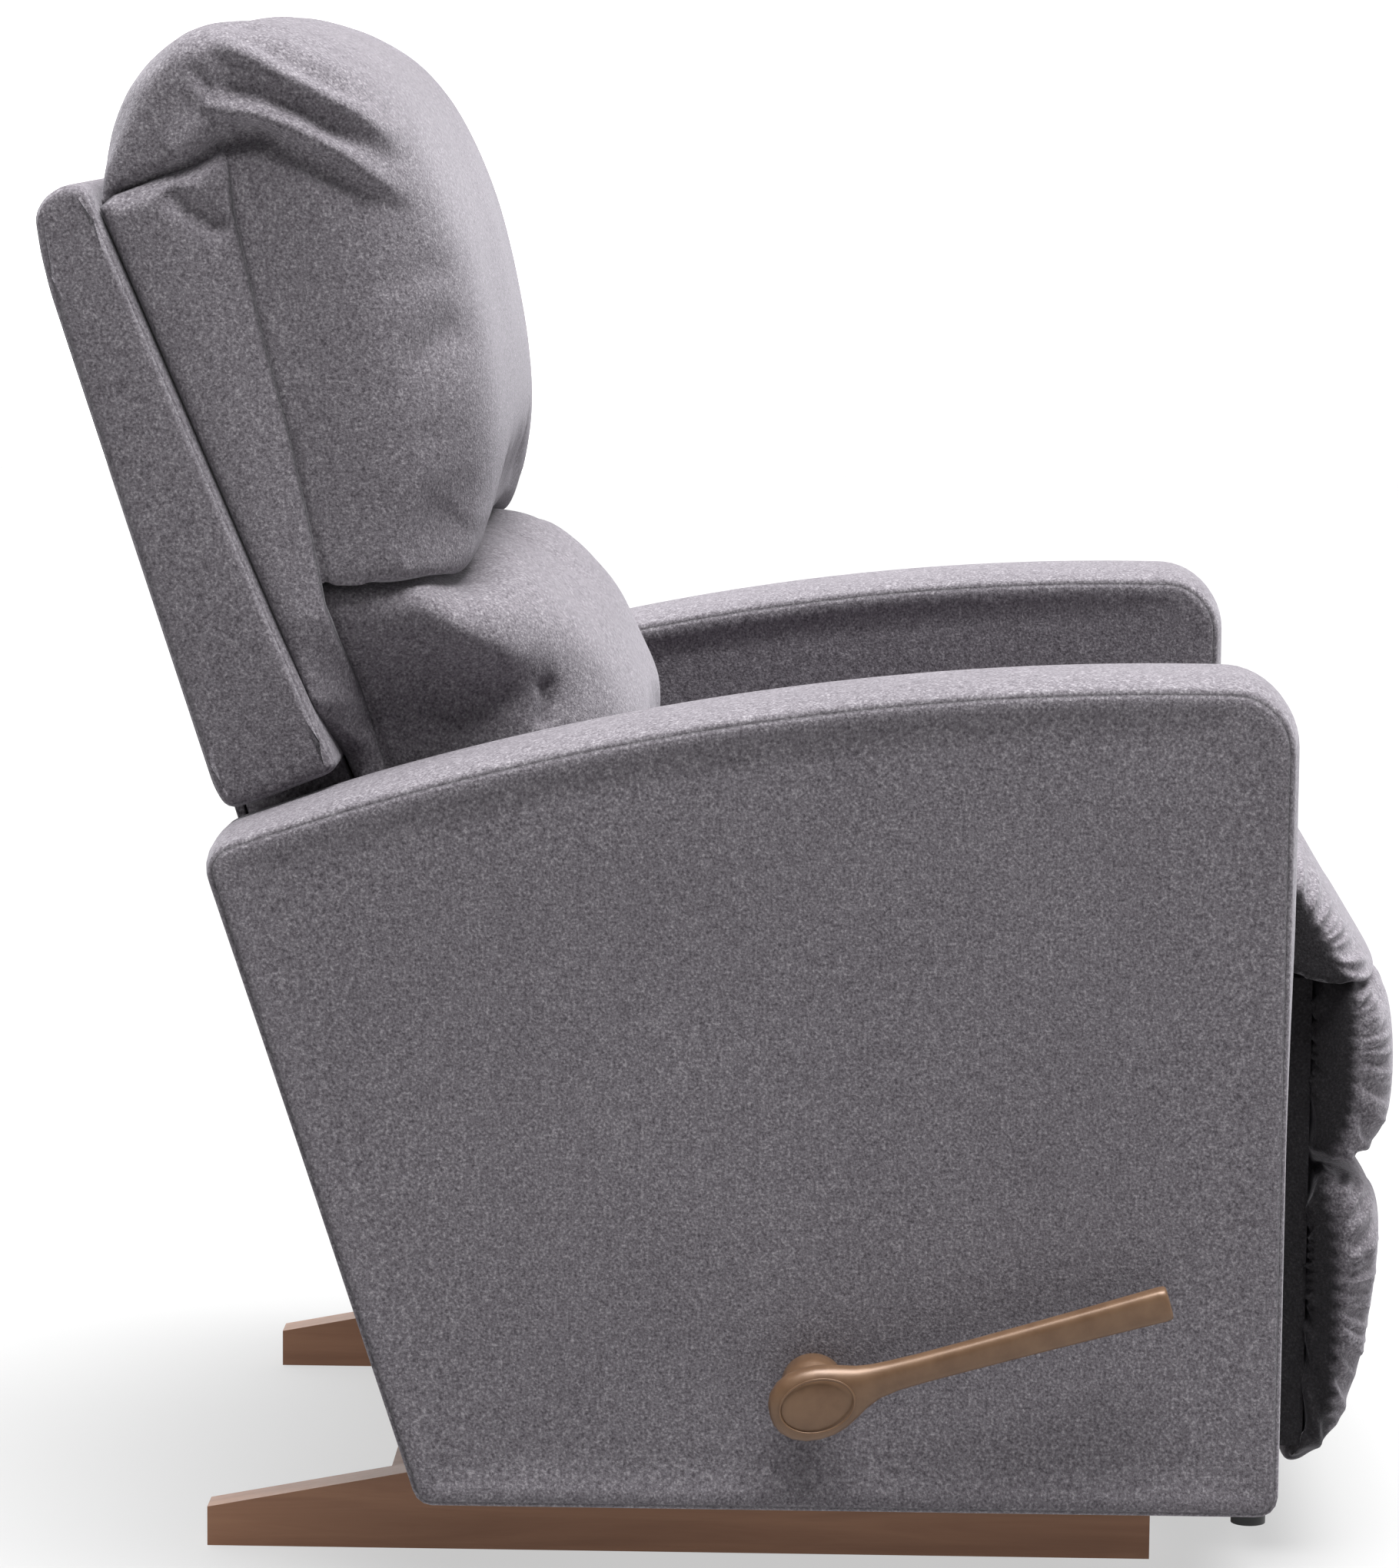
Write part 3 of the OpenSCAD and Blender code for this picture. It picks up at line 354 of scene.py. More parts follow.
# Near-black cloth: painted shade for the deep hollow between the arms and the legrest
SHADE_CLOTH = fabric("shadow_black_cloth", 0.12)
STAIN = wood("stained_wood", (0.225, 0.102, 0.052), (0.315, 0.155, 0.084), 0.36)
PINE = wood("frame_wood", (0.42, 0.28, 0.15), (0.66, 0.49, 0.30), 0.6)
BRONZE = coated("bronze_paint", (0.120, 0.066, 0.036), (0.165, 0.096, 0.054), 0.30, 0.25)
STEEL = coated("painted_steel", (0.018, 0.018, 0.020), (0.045, 0.045, 0.048), 0.42, 0.3)
SPRING = coated("spring_steel", (0.34, 0.34, 0.36), (0.52, 0.52, 0.54), 0.28, 1.0)
NYLON = coated("nylon", (0.012, 0.012, 0.013), (0.03, 0.03, 0.032), 0.5)

LOOKS = {
    "stained_wood": STAIN, "frame_wood": PINE, "painted_steel": STEEL,
    "spring_steel": SPRING, "bronze_paint": BRONZE, "nylon": NYLON, "upholstery": CLOTH,
}
# The legrest board gets the near-black cloth as painted shade in the hollow behind the pads
for part in frame["record"]["subparts"]:
    obj = frame["nodes"].get(part["node"])
    if obj is not None:
        for slot in obj.material_slots:
            slot.material = SHADE_CLOTH if part["node"] == "legrest_board" else LOOKS[part["material_slot"]]


# ---------- arms ----------
ARM_IN, ARM_OUT = 0.288, 0.420  # faces of an arm, from the chair's middle
ARM_LOW, ARM_TOP = 0.070, 0.590
ARM_REAR = 0.192  # where the leaning rear edge meets the underside
REAR_LEAN = 18.2  # degrees from upright


def arc(c, r, a0, a1, n):
    """Points of an arc round c, from angle a0 to a1 in degrees."""
    a = np.radians(np.linspace(a0, a1, n + 1))
    return np.stack([c[0] + r * np.cos(a), c[1] + r * np.sin(a)], 1)


def arm_outline():
    """The arm's side outline, from its front lower corner round the back to its front top corner."""
    front, crest, big_r = -0.346, -0.285, 1.780
    low = ARM_LOW
    lean = math.radians(REAR_LEAN)
    nose, heel, toe = 0.038, 0.018, 0.012
    big = np.array([crest, ARM_TOP - big_r])
    n = np.array([math.cos(lean), -math.sin(lean)])
    d = np.array([math.sin(lean), math.cos(lean)])
    foot = np.array([ARM_REAR, low])
    base = foot - toe * n
    rear_toe = base + (low + toe - base[1]) / d[1] * d
    rel = foot - heel * n - big
    along = rel @ d
    heel_c = big + rel + (math.sqrt(along ** 2 - rel @ rel + (big_r - heel) ** 2) - along) * d
    nose_c = np.array([front + nose, 0])
    nose_c[1] = big[1] + math.sqrt((big_r - nose) ** 2 - (nose_c[0] - big[0]) ** 2)
    heel_a = math.degrees(math.atan2(*(heel_c - big)[::-1]))
    nose_a = math.degrees(math.atan2(*(nose_c - big)[::-1]))
    return np.vstack([
        arc((front + toe, low + toe), toe, 180, 270, 6),
        arc(rear_toe, toe, 270, 360 - REAR_LEAN, 6),
        arc(heel_c, heel, -REAR_LEAN, heel_a, 10),
        arc(big, big_r, heel_a, nose_a, 60)[1:-1],
        arc(nose_c, nose, nose_a, 180, 14),
    ])


def arm(name, side):
    """Padded arm: flat puffed side panels, a sewn groove along each edge with painted shade in it, and a crowned band
    between them.
    """
    loop = arm_outline()
    loop = spaced(loop, run_of(loop), 420)
    out = outline_normals(loop)
    centre = np.array([-0.05, 0.33])

    def panel(face, sign):
        """Rows of a side panel from its middle to its edge: place across the chair, outline, painted shade in the seam
        groove.
        """
        found = []
        for f in (0.02, 0.3, 0.55, 0.75, 0.87, 0.94):
            found.append((face + sign * 0.0014 * (1 - f ** 4), centre + (loop - centre) * f, 0))
        for inset, rise, groove_shade in (
            (0.014, 0.0010, 0), (0.008, 0.0014, 0), (0.0052, 0.0012, 0),
            (0.0036, 0.0006, 0.1), (0.0026, -0.0008, 0.7), (0.0014, -0.0032, 1),
        ):
            found.append((face + sign * rise, loop - out * inset, groove_shade))
        return found

    rows = panel(ARM_IN, -1)
    width = ARM_OUT - ARM_IN
    half = (0.004, 0.010, 0.018, 0.028, 0.042, 0.065, 0.10, 0.15, 0.21, 0.28, 0.36, 0.44)
    for t in (*half, 0.5, *(1 - k for k in half[::-1])):
        edge = min(t, 1 - t) * 2
        crown = 0.0068 * (1 - (1 - edge) ** 3.2)
        tuck = -0.0044 * bell(min(t, 1 - t) * width, 0.0018)
        # Less crown low down and where the back swings over the arm's rear end
        top_share = ease(loop[:, 1] - 0.28, 0, 0.2) * (1 - 0.4 * ease(loop[:, 0], 0.22, 0.30))
        lift = (crown * (0.45 + 0.55 * top_share) + tuck)[:, None]
        # Painted shade along the grooves at the band's two edges
        groove_shade = 1 if edge < 0.01 else 0.6 if edge < 0.025 else 0
        rows.append((ARM_IN + width * t, loop + out * lift, groove_shade))
    rows += panel(ARM_OUT, 1)[::-1]
    made = rings_to_mesh(name, [across_chair(side * x, p) for x, p, _ in rows], CLOTH)
    ends = [0, 0]
    paint_shade(made, np.concatenate([np.repeat([float(groove_shade) for _, _, groove_shade in rows], len(loop)), ends]))
    return made


for side, word in ((-1, "right"), (1, "left")):
    piece = arm(f"arm_padding_{word}", side)
    finish_piece(piece, "chassis", "upholstery", f"arm_cover_{word}", fill=0.9)


# ---------- back ----------
BACK_TOP = 0.890


def back_rear(z):
    """Rear face of the back at height z."""
    return 0.328 + (z - 0.510) * 0.325


def back_front(z):
    """Face of the outer back that the two cushions rest on, at height z."""
    return 0.250 + (z - 0.523) * 0.427


def rounded(points, radius, n=5):
    """A closed outline with its corners rounded."""
    p = np.asarray(points, float)
    out = []
    for i in range(len(p)):
        a, b, c = p[i - 1], p[i], p[(i + 1) % len(p)]
        u, v = (a - b) / np.linalg.norm(a - b), (c - b) / np.linalg.norm(c - b)
        cut = min(radius, 0.45 * np.linalg.norm(a - b), 0.45 * np.linalg.norm(c - b))
        for k in range(n + 1):
            t = k / n
            out.append((1 - t) ** 2 * (b + u * cut) + 2 * t * (1 - t) * b + t * t * (b + v * cut))
    return np.array(out)


def padded_slab(name, outline, half, count=320, puff=0.002):
    """A padded slab across the chair with a sewn groove along its two side edges."""
    loop = spaced(outline, run_of(outline), count)
    out = outline_normals(loop)
    centre = loop.mean(0)
    rows = []
    for f in (0.02, 0.3, 0.6, 0.8, 0.92):
        rows.append((half + puff * (1 - f ** 4), centre + (loop - centre) * f))
    for inset, rise in ((0.006, 0.0008), (0.0035, 0.0002), (0.0018, -0.0010), (0.0008, -0.0022)):
        rows.append((half + rise, loop - out * inset))
    ins = [(half - 0.0035, -0.0016), (half - 0.0055, 0.0002), (half - 0.010, 0.0010)]
    rows += [(x, loop + out * lift) for x, lift in ins]
    inner = [half * s for s in (0.9, 0.7, 0.45, 0.2)]
    rows += [(x, loop + out * 0.0012) for x in inner]
    rings = [across_chair(x, p) for x, p in rows] + [across_chair(-x, p) for x, p in rows[::-1]]
    return rings_to_mesh(name, rings, CLOTH)


def outer_back_outline():
    """Side outline of the outer back, from its lower front corner round its foot and rear face to its top."""
    top, shoulder, neck = BACK_TOP, BACK_TOP - 0.019, BACK_TOP - 0.011
    return rounded([
        (0.2514, 0.526), (0.257, 0.5215), (0.303, 0.5032), (0.320, 0.4985), (0.328, 0.5115),
        (back_rear(top - 0.066), top - 0.066),
        (back_rear(top - 0.042) - 0.002, top - 0.042),
        (back_rear(shoulder) - 0.006, shoulder),
        (back_rear(shoulder) - 0.012, top - 0.008),
        (back_rear(shoulder) - 0.024, top - 0.0005),
        (back_front(neck) + 0.007, top - 0.0005),
        (back_front(neck) + 0.0014, neck),
    ], 0.007)


piece = padded_slab("outer_back", outer_back_outline(), 0.3395)
finish_piece(piece, "back", "upholstery", "back_side_right", "back_side_left", "back_top", fill=0.9)


def strip(low, high, front, rear, radius):
    """Outline of a flat piece between two heights; front and rear give its two faces at a height."""
    return rounded([(front(low), low), (rear(low), low), (rear(high), high), (front(high), high)], radius)


def panel_outline(low, high):
    """Outline of a covered board at the rear of the back."""
    return strip(low, high, lambda z: back_rear(z) - 0.0075, lambda z: back_rear(z) - 0.0005, 0.003)


piece = padded_slab("low_back_panel", panel_outline(0.3455, 0.512), 0.279, count=160)
finish_piece(piece, "back", "upholstery", "back_panel", fill=0.9)
piece = padded_slab("low_back_foot", panel_outline(0.2905, 0.349), 0.2605, count=160)
finish_piece(piece, "back", "upholstery", fill=0.9)

WING_LOW, WING_HIGH = 0.450, 0.556


def wing_front(z):
    """The wing's front leans a little further back towards its top than the cushions' rest does."""
    return back_front(z) + 0.002 * (z - WING_LOW) / (WING_HIGH - WING_LOW)


wing = strip(WING_LOW, WING_HIGH, wing_front, lambda z: back_rear(z) - 0.0095, 0.003)
for side, word in ((-1, "right"), (1, "left")):
    rings = [across_chair(side * x, wing) for x in (0.2635, 0.2700, 0.2800, 0.2845)]
    piece = rings_to_mesh(f"back_wing_{word}", rings, CLOTH)
    finish_piece(piece, "back", "upholstery", fill=0.9)


def apron_line(z):
    """Rear face of the apron, just inside the arms' leaning rear edge."""
    return ARM_REAR - 0.006 + (z - ARM_LOW) * math.tan(math.radians(REAR_LEAN))


apron = strip(0.095, 0.280, lambda z: apron_line(z) - 0.006, apron_line, 0.0025)
piece = padded_slab("rear_apron_cover", apron, 0.2875, count=160)
finish_piece(piece, "chassis", "upholstery", "rear_apron", fill=0.9)


# ---------- cushions ----------
def cushion(name, mid, rim, half, fullness, boxy=2, per=9, steps=44, count=300):
    """A cushion between the outline in its middle and the one at its two sides; boxy squares its front."""
    mid, rim = smooth_loop(np.array(mid) / 1000, per), smooth_loop(np.array(rim) / 1000, per)
    share = 0.5 * (run_of(mid) + run_of(rim))
    mid, rim = spaced(mid, share, count), spaced(rim, share, count)
    rings = []
    for j in range(-steps, steps + 1):
        s = math.pi / 2 * j / steps
        p = rim + (mid - rim) * max(0.0, 1 - abs(math.sin(s)) ** boxy) ** fullness
        rings.append(across_chair(half * math.sin(s), p))
    near, far = rings[0], rings[-1]
    for inset in (0.2, 0.45, 0.7):
        step = np.column_stack([np.zeros(count), (rim.mean(0) - rim) * inset])
        rings.insert(0, near + step - (0.0006, 0, 0))
        rings.append(far + step + (0.0006, 0, 0))
    return rings_to_mesh(name, rings, CLOTH)


def baked(obj):
    """Takes the modifiers' result as the piece's own mesh."""
    bpy.context.view_layer.update()
    made = bpy.data.meshes.new_from_object(obj.evaluated_get(bpy.context.evaluated_depsgraph_get()))
    old = obj.data
    obj.modifiers.clear()
    obj.data = made
    bpy.data.meshes.remove(old)
    obj.data.polygons.foreach_set("use_smooth", [True] * len(obj.data.polygons))
    if not obj.data.materials:
        obj.data.materials.append(CLOTH)


def subdivided(obj, levels=1):
    mod = obj.modifiers.new("finer", "SUBSURF")
    mod.levels = mod.render_levels = levels
    baked(obj)


def puffed(obj, held, cap, voxel=0.006, pressure=4.0, slack=0.0, frames=20, calm=4):
    """Fills the cushion out as cloth with air inside, held down where held gives 1."""
    mod = obj.modifiers.new("even", "REMESH")
    mod.mode = "VOXEL"
    mod.voxel_size = voxel
    baked(obj)
    start = positions(obj)
    group = obj.vertex_groups.new(name="held")
    weight = held(start)
    for k in np.unique(np.round(weight, 1)):
        if k > 0:
            group.add([int(v) for v in np.where(np.round(weight, 1) == k)[0]], float(k), "REPLACE")
    mod = obj.modifiers.new("cloth", "CLOTH")
    cloth = mod.settings
    cloth.quality = 4
    cloth.mass = 0.3
    cloth.tension_stiffness = cloth.compression_stiffness = 18
    cloth.shear_stiffness = 8
    cloth.bending_stiffness = 0.6
    cloth.use_pressure = True
    cloth.uniform_pressure_force = pressure
    cloth.effector_weights.gravity = 0
    cloth.vertex_group_mass = "held"
    cloth.pin_stiffness = 1
    cloth.shrink_min = -slack
    mod.collision_settings.use_collision = False
    mod.point_cache.frame_start, mod.point_cache.frame_end = 1, frames
    for frame_no in range(1, frames + 1):
        bpy.context.scene.frame_set(frame_no)
    baked(obj)
    bpy.context.scene.frame_set(1)
    move = positions(obj) - start
    size = np.linalg.norm(move, axis=1)
    print(obj.name, len(start), "points, moved up to", round(float(size.max()) * 1000, 1), "mm, mean",
          round(float(size.mean()) * 1000, 1))
    move *= (cap * np.tanh(size / cap) / np.maximum(size, 1e-9))[:, None]
    set_positions(obj, start + move)
    obj.vertex_groups.clear()
    mod = obj.modifiers.new("calm", "SMOOTH")
    mod.factor = 0.5
    mod.iterations = calm
    baked(obj)
    subdivided(obj)


def shaped(obj, amount):
    """Moves each point along its own normal by amount(points), in metres."""
    points = positions(obj)
    set_positions(obj, points + normals(obj) * amount(points)[:, None])


def rest(z):
    """A point of a cushion's outline that lies against the outer back, in millimetres."""
    return (1000 * back_front(z / 1000) - 0.3, z)


# Outlines of the cushions in millimetres as (y, z): mid is in the chair's middle, rim at the cushion's two sides
head_mid = [
    (164, 652), (157, 690), (154, 735), (162, 795), (184, 878), (219, 944), (263, 979.5), (312, 996),
    (353, 986), (381, 959), (397, 929), (403.5, 907), (404.6, 897), (402.5, 889), rest(880),
    rest(868), rest(842), rest(748), rest(680), (300, 657), (285, 651), (220, 648),
]
head_rim = [
    (256, 633), (266, 672), (280, 735), (296, 795), (314, 872), (320, 920), (325, 949), (334, 962),
    (346, 961), (362, 944), (378, 920), (387, 903), (393, 894), (397, 887), rest(878),
    rest(866), rest(842), rest(748), rest(670), rest(645), (294, 636), (274, 631),
]
lumbar_mid = [
    (150, 645), (132, 640), (117, 630), (89, 596), (71, 563), (57, 532), (50, 500), (54, 474),
    (75, 462), (130, 460), (200, 462), (222, 466), rest(490), rest(540), rest(600), rest(632),
    (286, 645), (220, 646),
]
lumbar_rim = [
    (258, 627.5), (254.5, 620), (250, 606), (244, 590), (238, 572), (231, 550), (222, 520), (214, 490),
    (212, 474), (215, 467.5), (219, 466.5), (223, 469), rest(490), rest(540), rest(590), rest(618),
    (289, 629.5), (272, 629),
]
seat_mid = [
    (190, 384), (194, 415), (184, 446), (120, 452), (20, 457), (-120, 464), (-260, 472), (-332, 471),
    (-353, 456), (-356, 420), (-352, 386), (-340, 378), (-322, 376), (-300, 375.8), (0, 375.8),
    (150, 375.8), (172, 376.2), (184, 379),
]
seat_rim = [
    (188, 387), (190, 410), (178, 434), (120, 440), (20, 443), (-120, 447), (-260, 452), (-328, 449),
    (-348, 438), (-352, 415), (-348, 390), (-338, 380), (-322, 376.6), (-300, 376), (0, 375.9),
    (150, 376), (172, 376.6), (183, 380),
]
bridge_mid = [
    (-358.5, 394), (-356.4, 402), (-356.4, 430), (-356.6, 450), (-360, 463), (-367, 468), (-377, 460),
    (-387, 444), (-399, 424), (-411, 404), (-421, 386), (-402, 383), (-376, 388),
]
bridge_rim = [
    (-356.2, 395), (-354.4, 402), (-354.4, 420), (-355, 430), (-357, 438), (-361, 441), (-367, 436),
    (-374, 424), (-382, 410), (-389, 399), (-394, 388), (-383, 385), (-368, 389),
]
upper_mid = [
    (-375.5, 378), (-378, 385.5), (-393, 389), (-413, 388.8), (-423, 380), (-429, 360), (-432, 330),
    (-431, 300), (-426, 277), (-417, 265.5), (-402, 261.5), (-388, 261.8), (-378, 265),
    (-375.5, 272), (-375.3, 320),
]
upper_rim = [
    (-375.5, 374), (-376.5, 380), (-384, 383), (-394, 381), (-400, 373), (-403, 355), (-404, 330),
    (-403.5, 302), (-401, 284), (-396, 273), (-389, 268.5), (-382, 268), (-377, 271),
    (-375.5, 277), (-375.3, 320),
]
lower_mid = [
    (-376, 250), (-382, 258.3), (-402, 258.8), (-417, 250), (-424, 228), (-424.5, 198), (-421, 165),
    (-415.5, 131), (-406, 97), (-393, 70), (-378, 56), (-365, 54), (-362, 69), (-375.6, 74),
    (-375.6, 90),
]
lower_rim = [
    (-375.8, 245), (-378.5, 252), (-388, 252.5), (-395, 246), (-399, 226), (-399.5, 198), (-397, 168),
    (-393, 138), (-387, 113), (-383, 93), (-379, 79), (-371, 69), (-366, 72), (-375.6, 75),
    (-375.6, 90),
]


def gap_to_back(p):
    """How far points lie in front of the face that the back cushions rest on."""
    return (back_front(p[:, 2]) - p[:, 1]) * 0.92


def side_seam(p, half):
    """How far points lie from a cushion's side."""
    return np.abs(half - np.abs(p[:, 0] - MID))


HEAD_HALF, LUMBAR_HALF, SEAT_HALF, PAD_HALF = 0.290, 0.284, 0.283, 0.274
SEAT_BED = 0.3758  # top of the seat frame and its springs
BOARD_FACE, BOARD_FOOT = -0.3753, 0.0745  # front face and foot of the legrest board


def settled(obj, pressed):
    """Lets a back cushion spread above the arms, presses its front back and sags where head and lumbar meet."""
    points = positions(obj)
    side = np.abs(points[:, 0] - MID)
    sag = bell(np.hypot(points[:, 1] - 0.165, points[:, 2] - 0.662), 0.027) * ease(side, 0.10, 0.23)
    points[:, 1] += pressed * ease(gap_to_back(points), 0.02, 0.10)
    points[:, 2] -= 0.018 * sag
    points[:, 0] = MID + (points[:, 0] - MID) * (1 + 0.110 * ease(points[:, 2], 0.555, 0.625))
    set_positions(obj, points)


def back_held(p, half):
    """Where a back cushion is held: against the outer back and along its two sides."""
    rear = 1 - ease(gap_to_back(p), 0.004, 0.012)
    rear[p[:, 2] > BACK_TOP - 0.002] = 0
    sides = 1 - ease(side_seam(p, half), 0.002, 0.010)
    return np.maximum(rear, sides)


# Folds near the side seam, drawn on the side as (y, z) lines: height, half width above, half width below, line
HEAD_FOLDS = [
    (0.0084, 0.0100, 0.0045, [
        (0.331, 0.943), (0.320, 0.937), (0.295, 0.934), (0.271, 0.923), (0.248, 0.910), (0.231, 0.897), (0.196, 0.874),
    ]),
    (0.0066, 0.0090, 0.0045, [
        (0.324, 0.978), (0.299, 0.968), (0.276, 0.955), (0.247, 0.940), (0.224, 0.923), (0.203, 0.905),
    ]),
    (-0.0060, 0.0060, 0.0070, [(0.318, 0.953), (0.291, 0.946), (0.269, 0.937), (0.250, 0.925), (0.230, 0.910)]),
    (-0.0055, 0.0060, 0.0090, [(0.318, 0.925), (0.293, 0.923), (0.269, 0.911), (0.246, 0.897), (0.226, 0.882)]),
    (-0.0040, 0.0060, 0.0070, [(0.311, 0.986), (0.288, 0.974), (0.264, 0.960), (0.227, 0.937)]),
    (-0.0100, 0.0045, 0.0060, [
        (0.392, 0.881), (0.364, 0.894), (0.341, 0.902), (0.320, 0.915), (0.304, 0.920), (0.291, 0.922), (0.274, 0.914),
    ]),
    (-0.0060, 0.0050, 0.0080, [(0.359, 0.888), (0.336, 0.873), (0.315, 0.858)]),
    (0.0040, 0.0120, 0.0070, [(0.352, 0.906), (0.330, 0.926), (0.318, 0.936)]),
    (-0.0030, 0.0160, 0.0160, [(0.170, 0.690), (0.186, 0.664), (0.205, 0.652)]),
]
HEAD_SEAM = [
    (0.256, 0.633), (0.266, 0.672), (0.280, 0.735), (0.296, 0.795), (0.314, 0.872), (0.320, 0.920), (0.324, 0.949),
    (0.334, 0.962),
]
LUMBAR_SEAM = [
    (0.2575, 0.6275), (0.2545, 0.620), (0.250, 0.606), (0.244, 0.590), (0.238, 0.572), (0.231, 0.550), (0.222, 0.520),
    (0.214, 0.490),
]
LUMBAR_FOLDS = [
    (0.0040, 0.0140, 0.0140, [
        (0.200, 0.636), (0.182, 0.623), (0.171, 0.610), (0.152, 0.596), (0.138, 0.587), (0.118, 0.573),
    ]),
    (-0.0050, 0.0200, 0.0200, [(0.215, 0.600), (0.190, 0.580), (0.165, 0.560), (0.140, 0.545)]),
    (-0.0060, 0.0050, 0.0070, [(0.114, 0.576), (0.112, 0.560), (0.116, 0.540)]),
    (-0.0030, 0.0070, 0.0070, [(0.262, 0.560), (0.240, 0.548), (0.226, 0.543)]),
]


def fold_height(p, folds, half, reach):
    """Height of sewn-in folds that start at the side seam and fade towards the middle of the cushion."""
    total = np.zeros(len(p))
    side = np.abs(p[:, 0] - MID)
    fade = ease(side, half - reach, half - reach * 0.45)
    near = np.where(fade > 0)[0]
    for height, above, below, line in folds:
        dist, hand, along = to_path(p[near][:, 1:], line)
        width = np.where(hand < 0, above, below)
        ends = ease(along, -0.05, 0.10) * (1 - ease(along, 0.70, 1.0))
        total[near] += height * bell(dist, width) * ends
    return total * fade


def seam_depth(p, line, half, depth=0.0024, width=0.0030):
    """A sewn groove where the side panel meets the front of the cushion."""
    dist, _, _ = to_path(p[:, 1:], line)
    side = half - np.abs(p[:, 0] - MID)
    return -depth * bell(dist, width) * (1 - ease(side, 0.012, 0.030))


def rumple(p, size, height, seed):
    """Slow unevenness of stuffed cloth."""
    rng = np.random.default_rng(seed)
    total = np.zeros(len(p))
    for k in range(7):
        turn = rng.normal(size=3)
        turn *= 2 * math.pi / (size * rng.uniform(0.7, 1.8)) / np.linalg.norm(turn)
        total += np.sin(p @ turn + rng.uniform(0, 6.28))
    return height * total / 7 ** 0.5


head = cushion("head_pillow", head_mid, head_rim, HEAD_HALF, 0.29, boxy=6, count=360, steps=60)
puffed(head, lambda p: back_held(p, HEAD_HALF), 0.008, voxel=0.0055, slack=0.02, calm=14)
shaped(head, lambda p: fold_height(p, HEAD_FOLDS, HEAD_HALF, 0.17) + seam_depth(p, HEAD_SEAM, HEAD_HALF)
       + rumple(p, 0.12, 0.0010, 3) * ease(gap_to_back(p), 0.004, 0.02))
settled(head, 0.0060)
finish_piece(head, "back", "upholstery", "head_cushion", fill=0.8)
lumbar = cushion("lumbar_pillow", lumbar_mid, lumbar_rim, LUMBAR_HALF, 0.30, boxy=4)
puffed(lumbar, lambda p: back_held(p, LUMBAR_HALF), 0.006, voxel=0.0065, slack=0.02, calm=8)
shaped(lumbar, lambda p: fold_height(p, LUMBAR_FOLDS, LUMBAR_HALF, 0.15) + seam_depth(p, LUMBAR_SEAM, LUMBAR_HALF)
       + rumple(p, 0.12, 0.0010, 5) * ease(gap_to_back(p), 0.004, 0.02))
settled(lumbar, 0.0070)
finish_piece(lumbar, "back", "upholstery", "lumbar_cushion", fill=0.8)


def side_boxing(name, side):
    """Side panel of the back cushions: one piece from the outer back to the sewn line, over both cushions, with
    painted shade along its two edges.
    """
    seam = np.array(LUMBAR_SEAM[::-1] + HEAD_SEAM[1:])
    heights = np.linspace(0.502, 0.915, 160)
    rear_line = np.array([
        (back_front(0.50), 0.50), (back_front(0.876), 0.876),
        (0.393, 0.8835), (0.364, 0.8955), (0.341, 0.9035), (0.3225, 0.915),
    ])
    share = np.array([0, 0.01, 0.025, 0.045, 0.07, *np.linspace(0.1, 0.9, 25), 0.93, 0.955, 0.975, 0.99, 1.0])
    rings = []
    for z in heights:
        front = np.interp(z, seam[:, 1], seam[:, 0]) + 0.0015
        rear = np.interp(z, rear_line[:, 1], rear_line[:, 0]) - 0.0008
        depth = max(rear - front, 0.004)
        wide = 0.2845 + (0.3360 - 0.2845) * ease(z, 0.520, 0.570) - 0.012 * ease(z, 0.876, 0.915)
        slim = 0.2855 + (0.3250 - 0.2855) * ease(z, 0.555, 0.625)
        away, near = share * depth, (1 - share) * depth
        x = wide + (slim - wide) * share ** 0.9 + 0.004 * np.sin(math.pi * share)
        x -= 0.0080 * np.exp(-away / 0.0022) + 0.0040 * np.exp(-near / 0.0012)
        y = rear - away
        outer = np.column_stack([MID + side * x, y, np.full(len(y), z)])
        outer[:, 0] += side * fold_height(outer, HEAD_FOLDS + LUMBAR_FOLDS, 0.284, 0.10)
        inner = outer[::-1].copy()
        inner[:, 0] -= side * 0.006
        rings.append(np.vstack([outer, inner]))
    made = rings_to_mesh(name, rings, CLOTH)
    # Painted shade along the panel's two edges: the crevice at the outer back and the sewn line at the front
    edge = np.maximum(bell(share, 0.020), bell(1 - share, 1.6 / 60))
    ends = [0, 0]
    paint_shade(made, np.concatenate([np.tile(np.concatenate([edge, edge[::-1]]), len(heights)), ends]))
    return made


for side, word in ((-1, "right"), (1, "left")):
    piece = side_boxing(f"side_boxing_{word}", side)
    finish_piece(piece, "back", "upholstery", fill=0.5)


def seat_held(p):
    """Where the seat cushion is held: on the seat frame and along its two sides."""
    under = 1 - ease(p[:, 2] - SEAT_BED, 0.002, 0.010)
    sides = 1 - ease(side_seam(p, SEAT_HALF), 0.002, 0.008)
    return np.maximum(under, sides)


seat = cushion("seat_pillow", seat_mid, seat_rim, SEAT_HALF, 0.25)
puffed(seat, seat_held, 0.006, voxel=0.0075)
shaped(seat, lambda p: rumple(p, 0.14, 0.0009, 7) * ease(p[:, 2] - SEAT_BED, 0.004, 0.02))
finish_piece(seat, "seat", "upholstery", "seat_cushion", fill=0.8)


def pad_held(p):
    """Where a legrest pad is held: on its board and along its two sides."""
    board = 1 - ease(BOARD_FACE - p[:, 1], 0.003, 0.009)
    board[p[:, 2] < BOARD_FOOT] = 1
    sides = 1 - ease(side_seam(p, PAD_HALF), 0.002, 0.008)
    return np.maximum(board, sides)


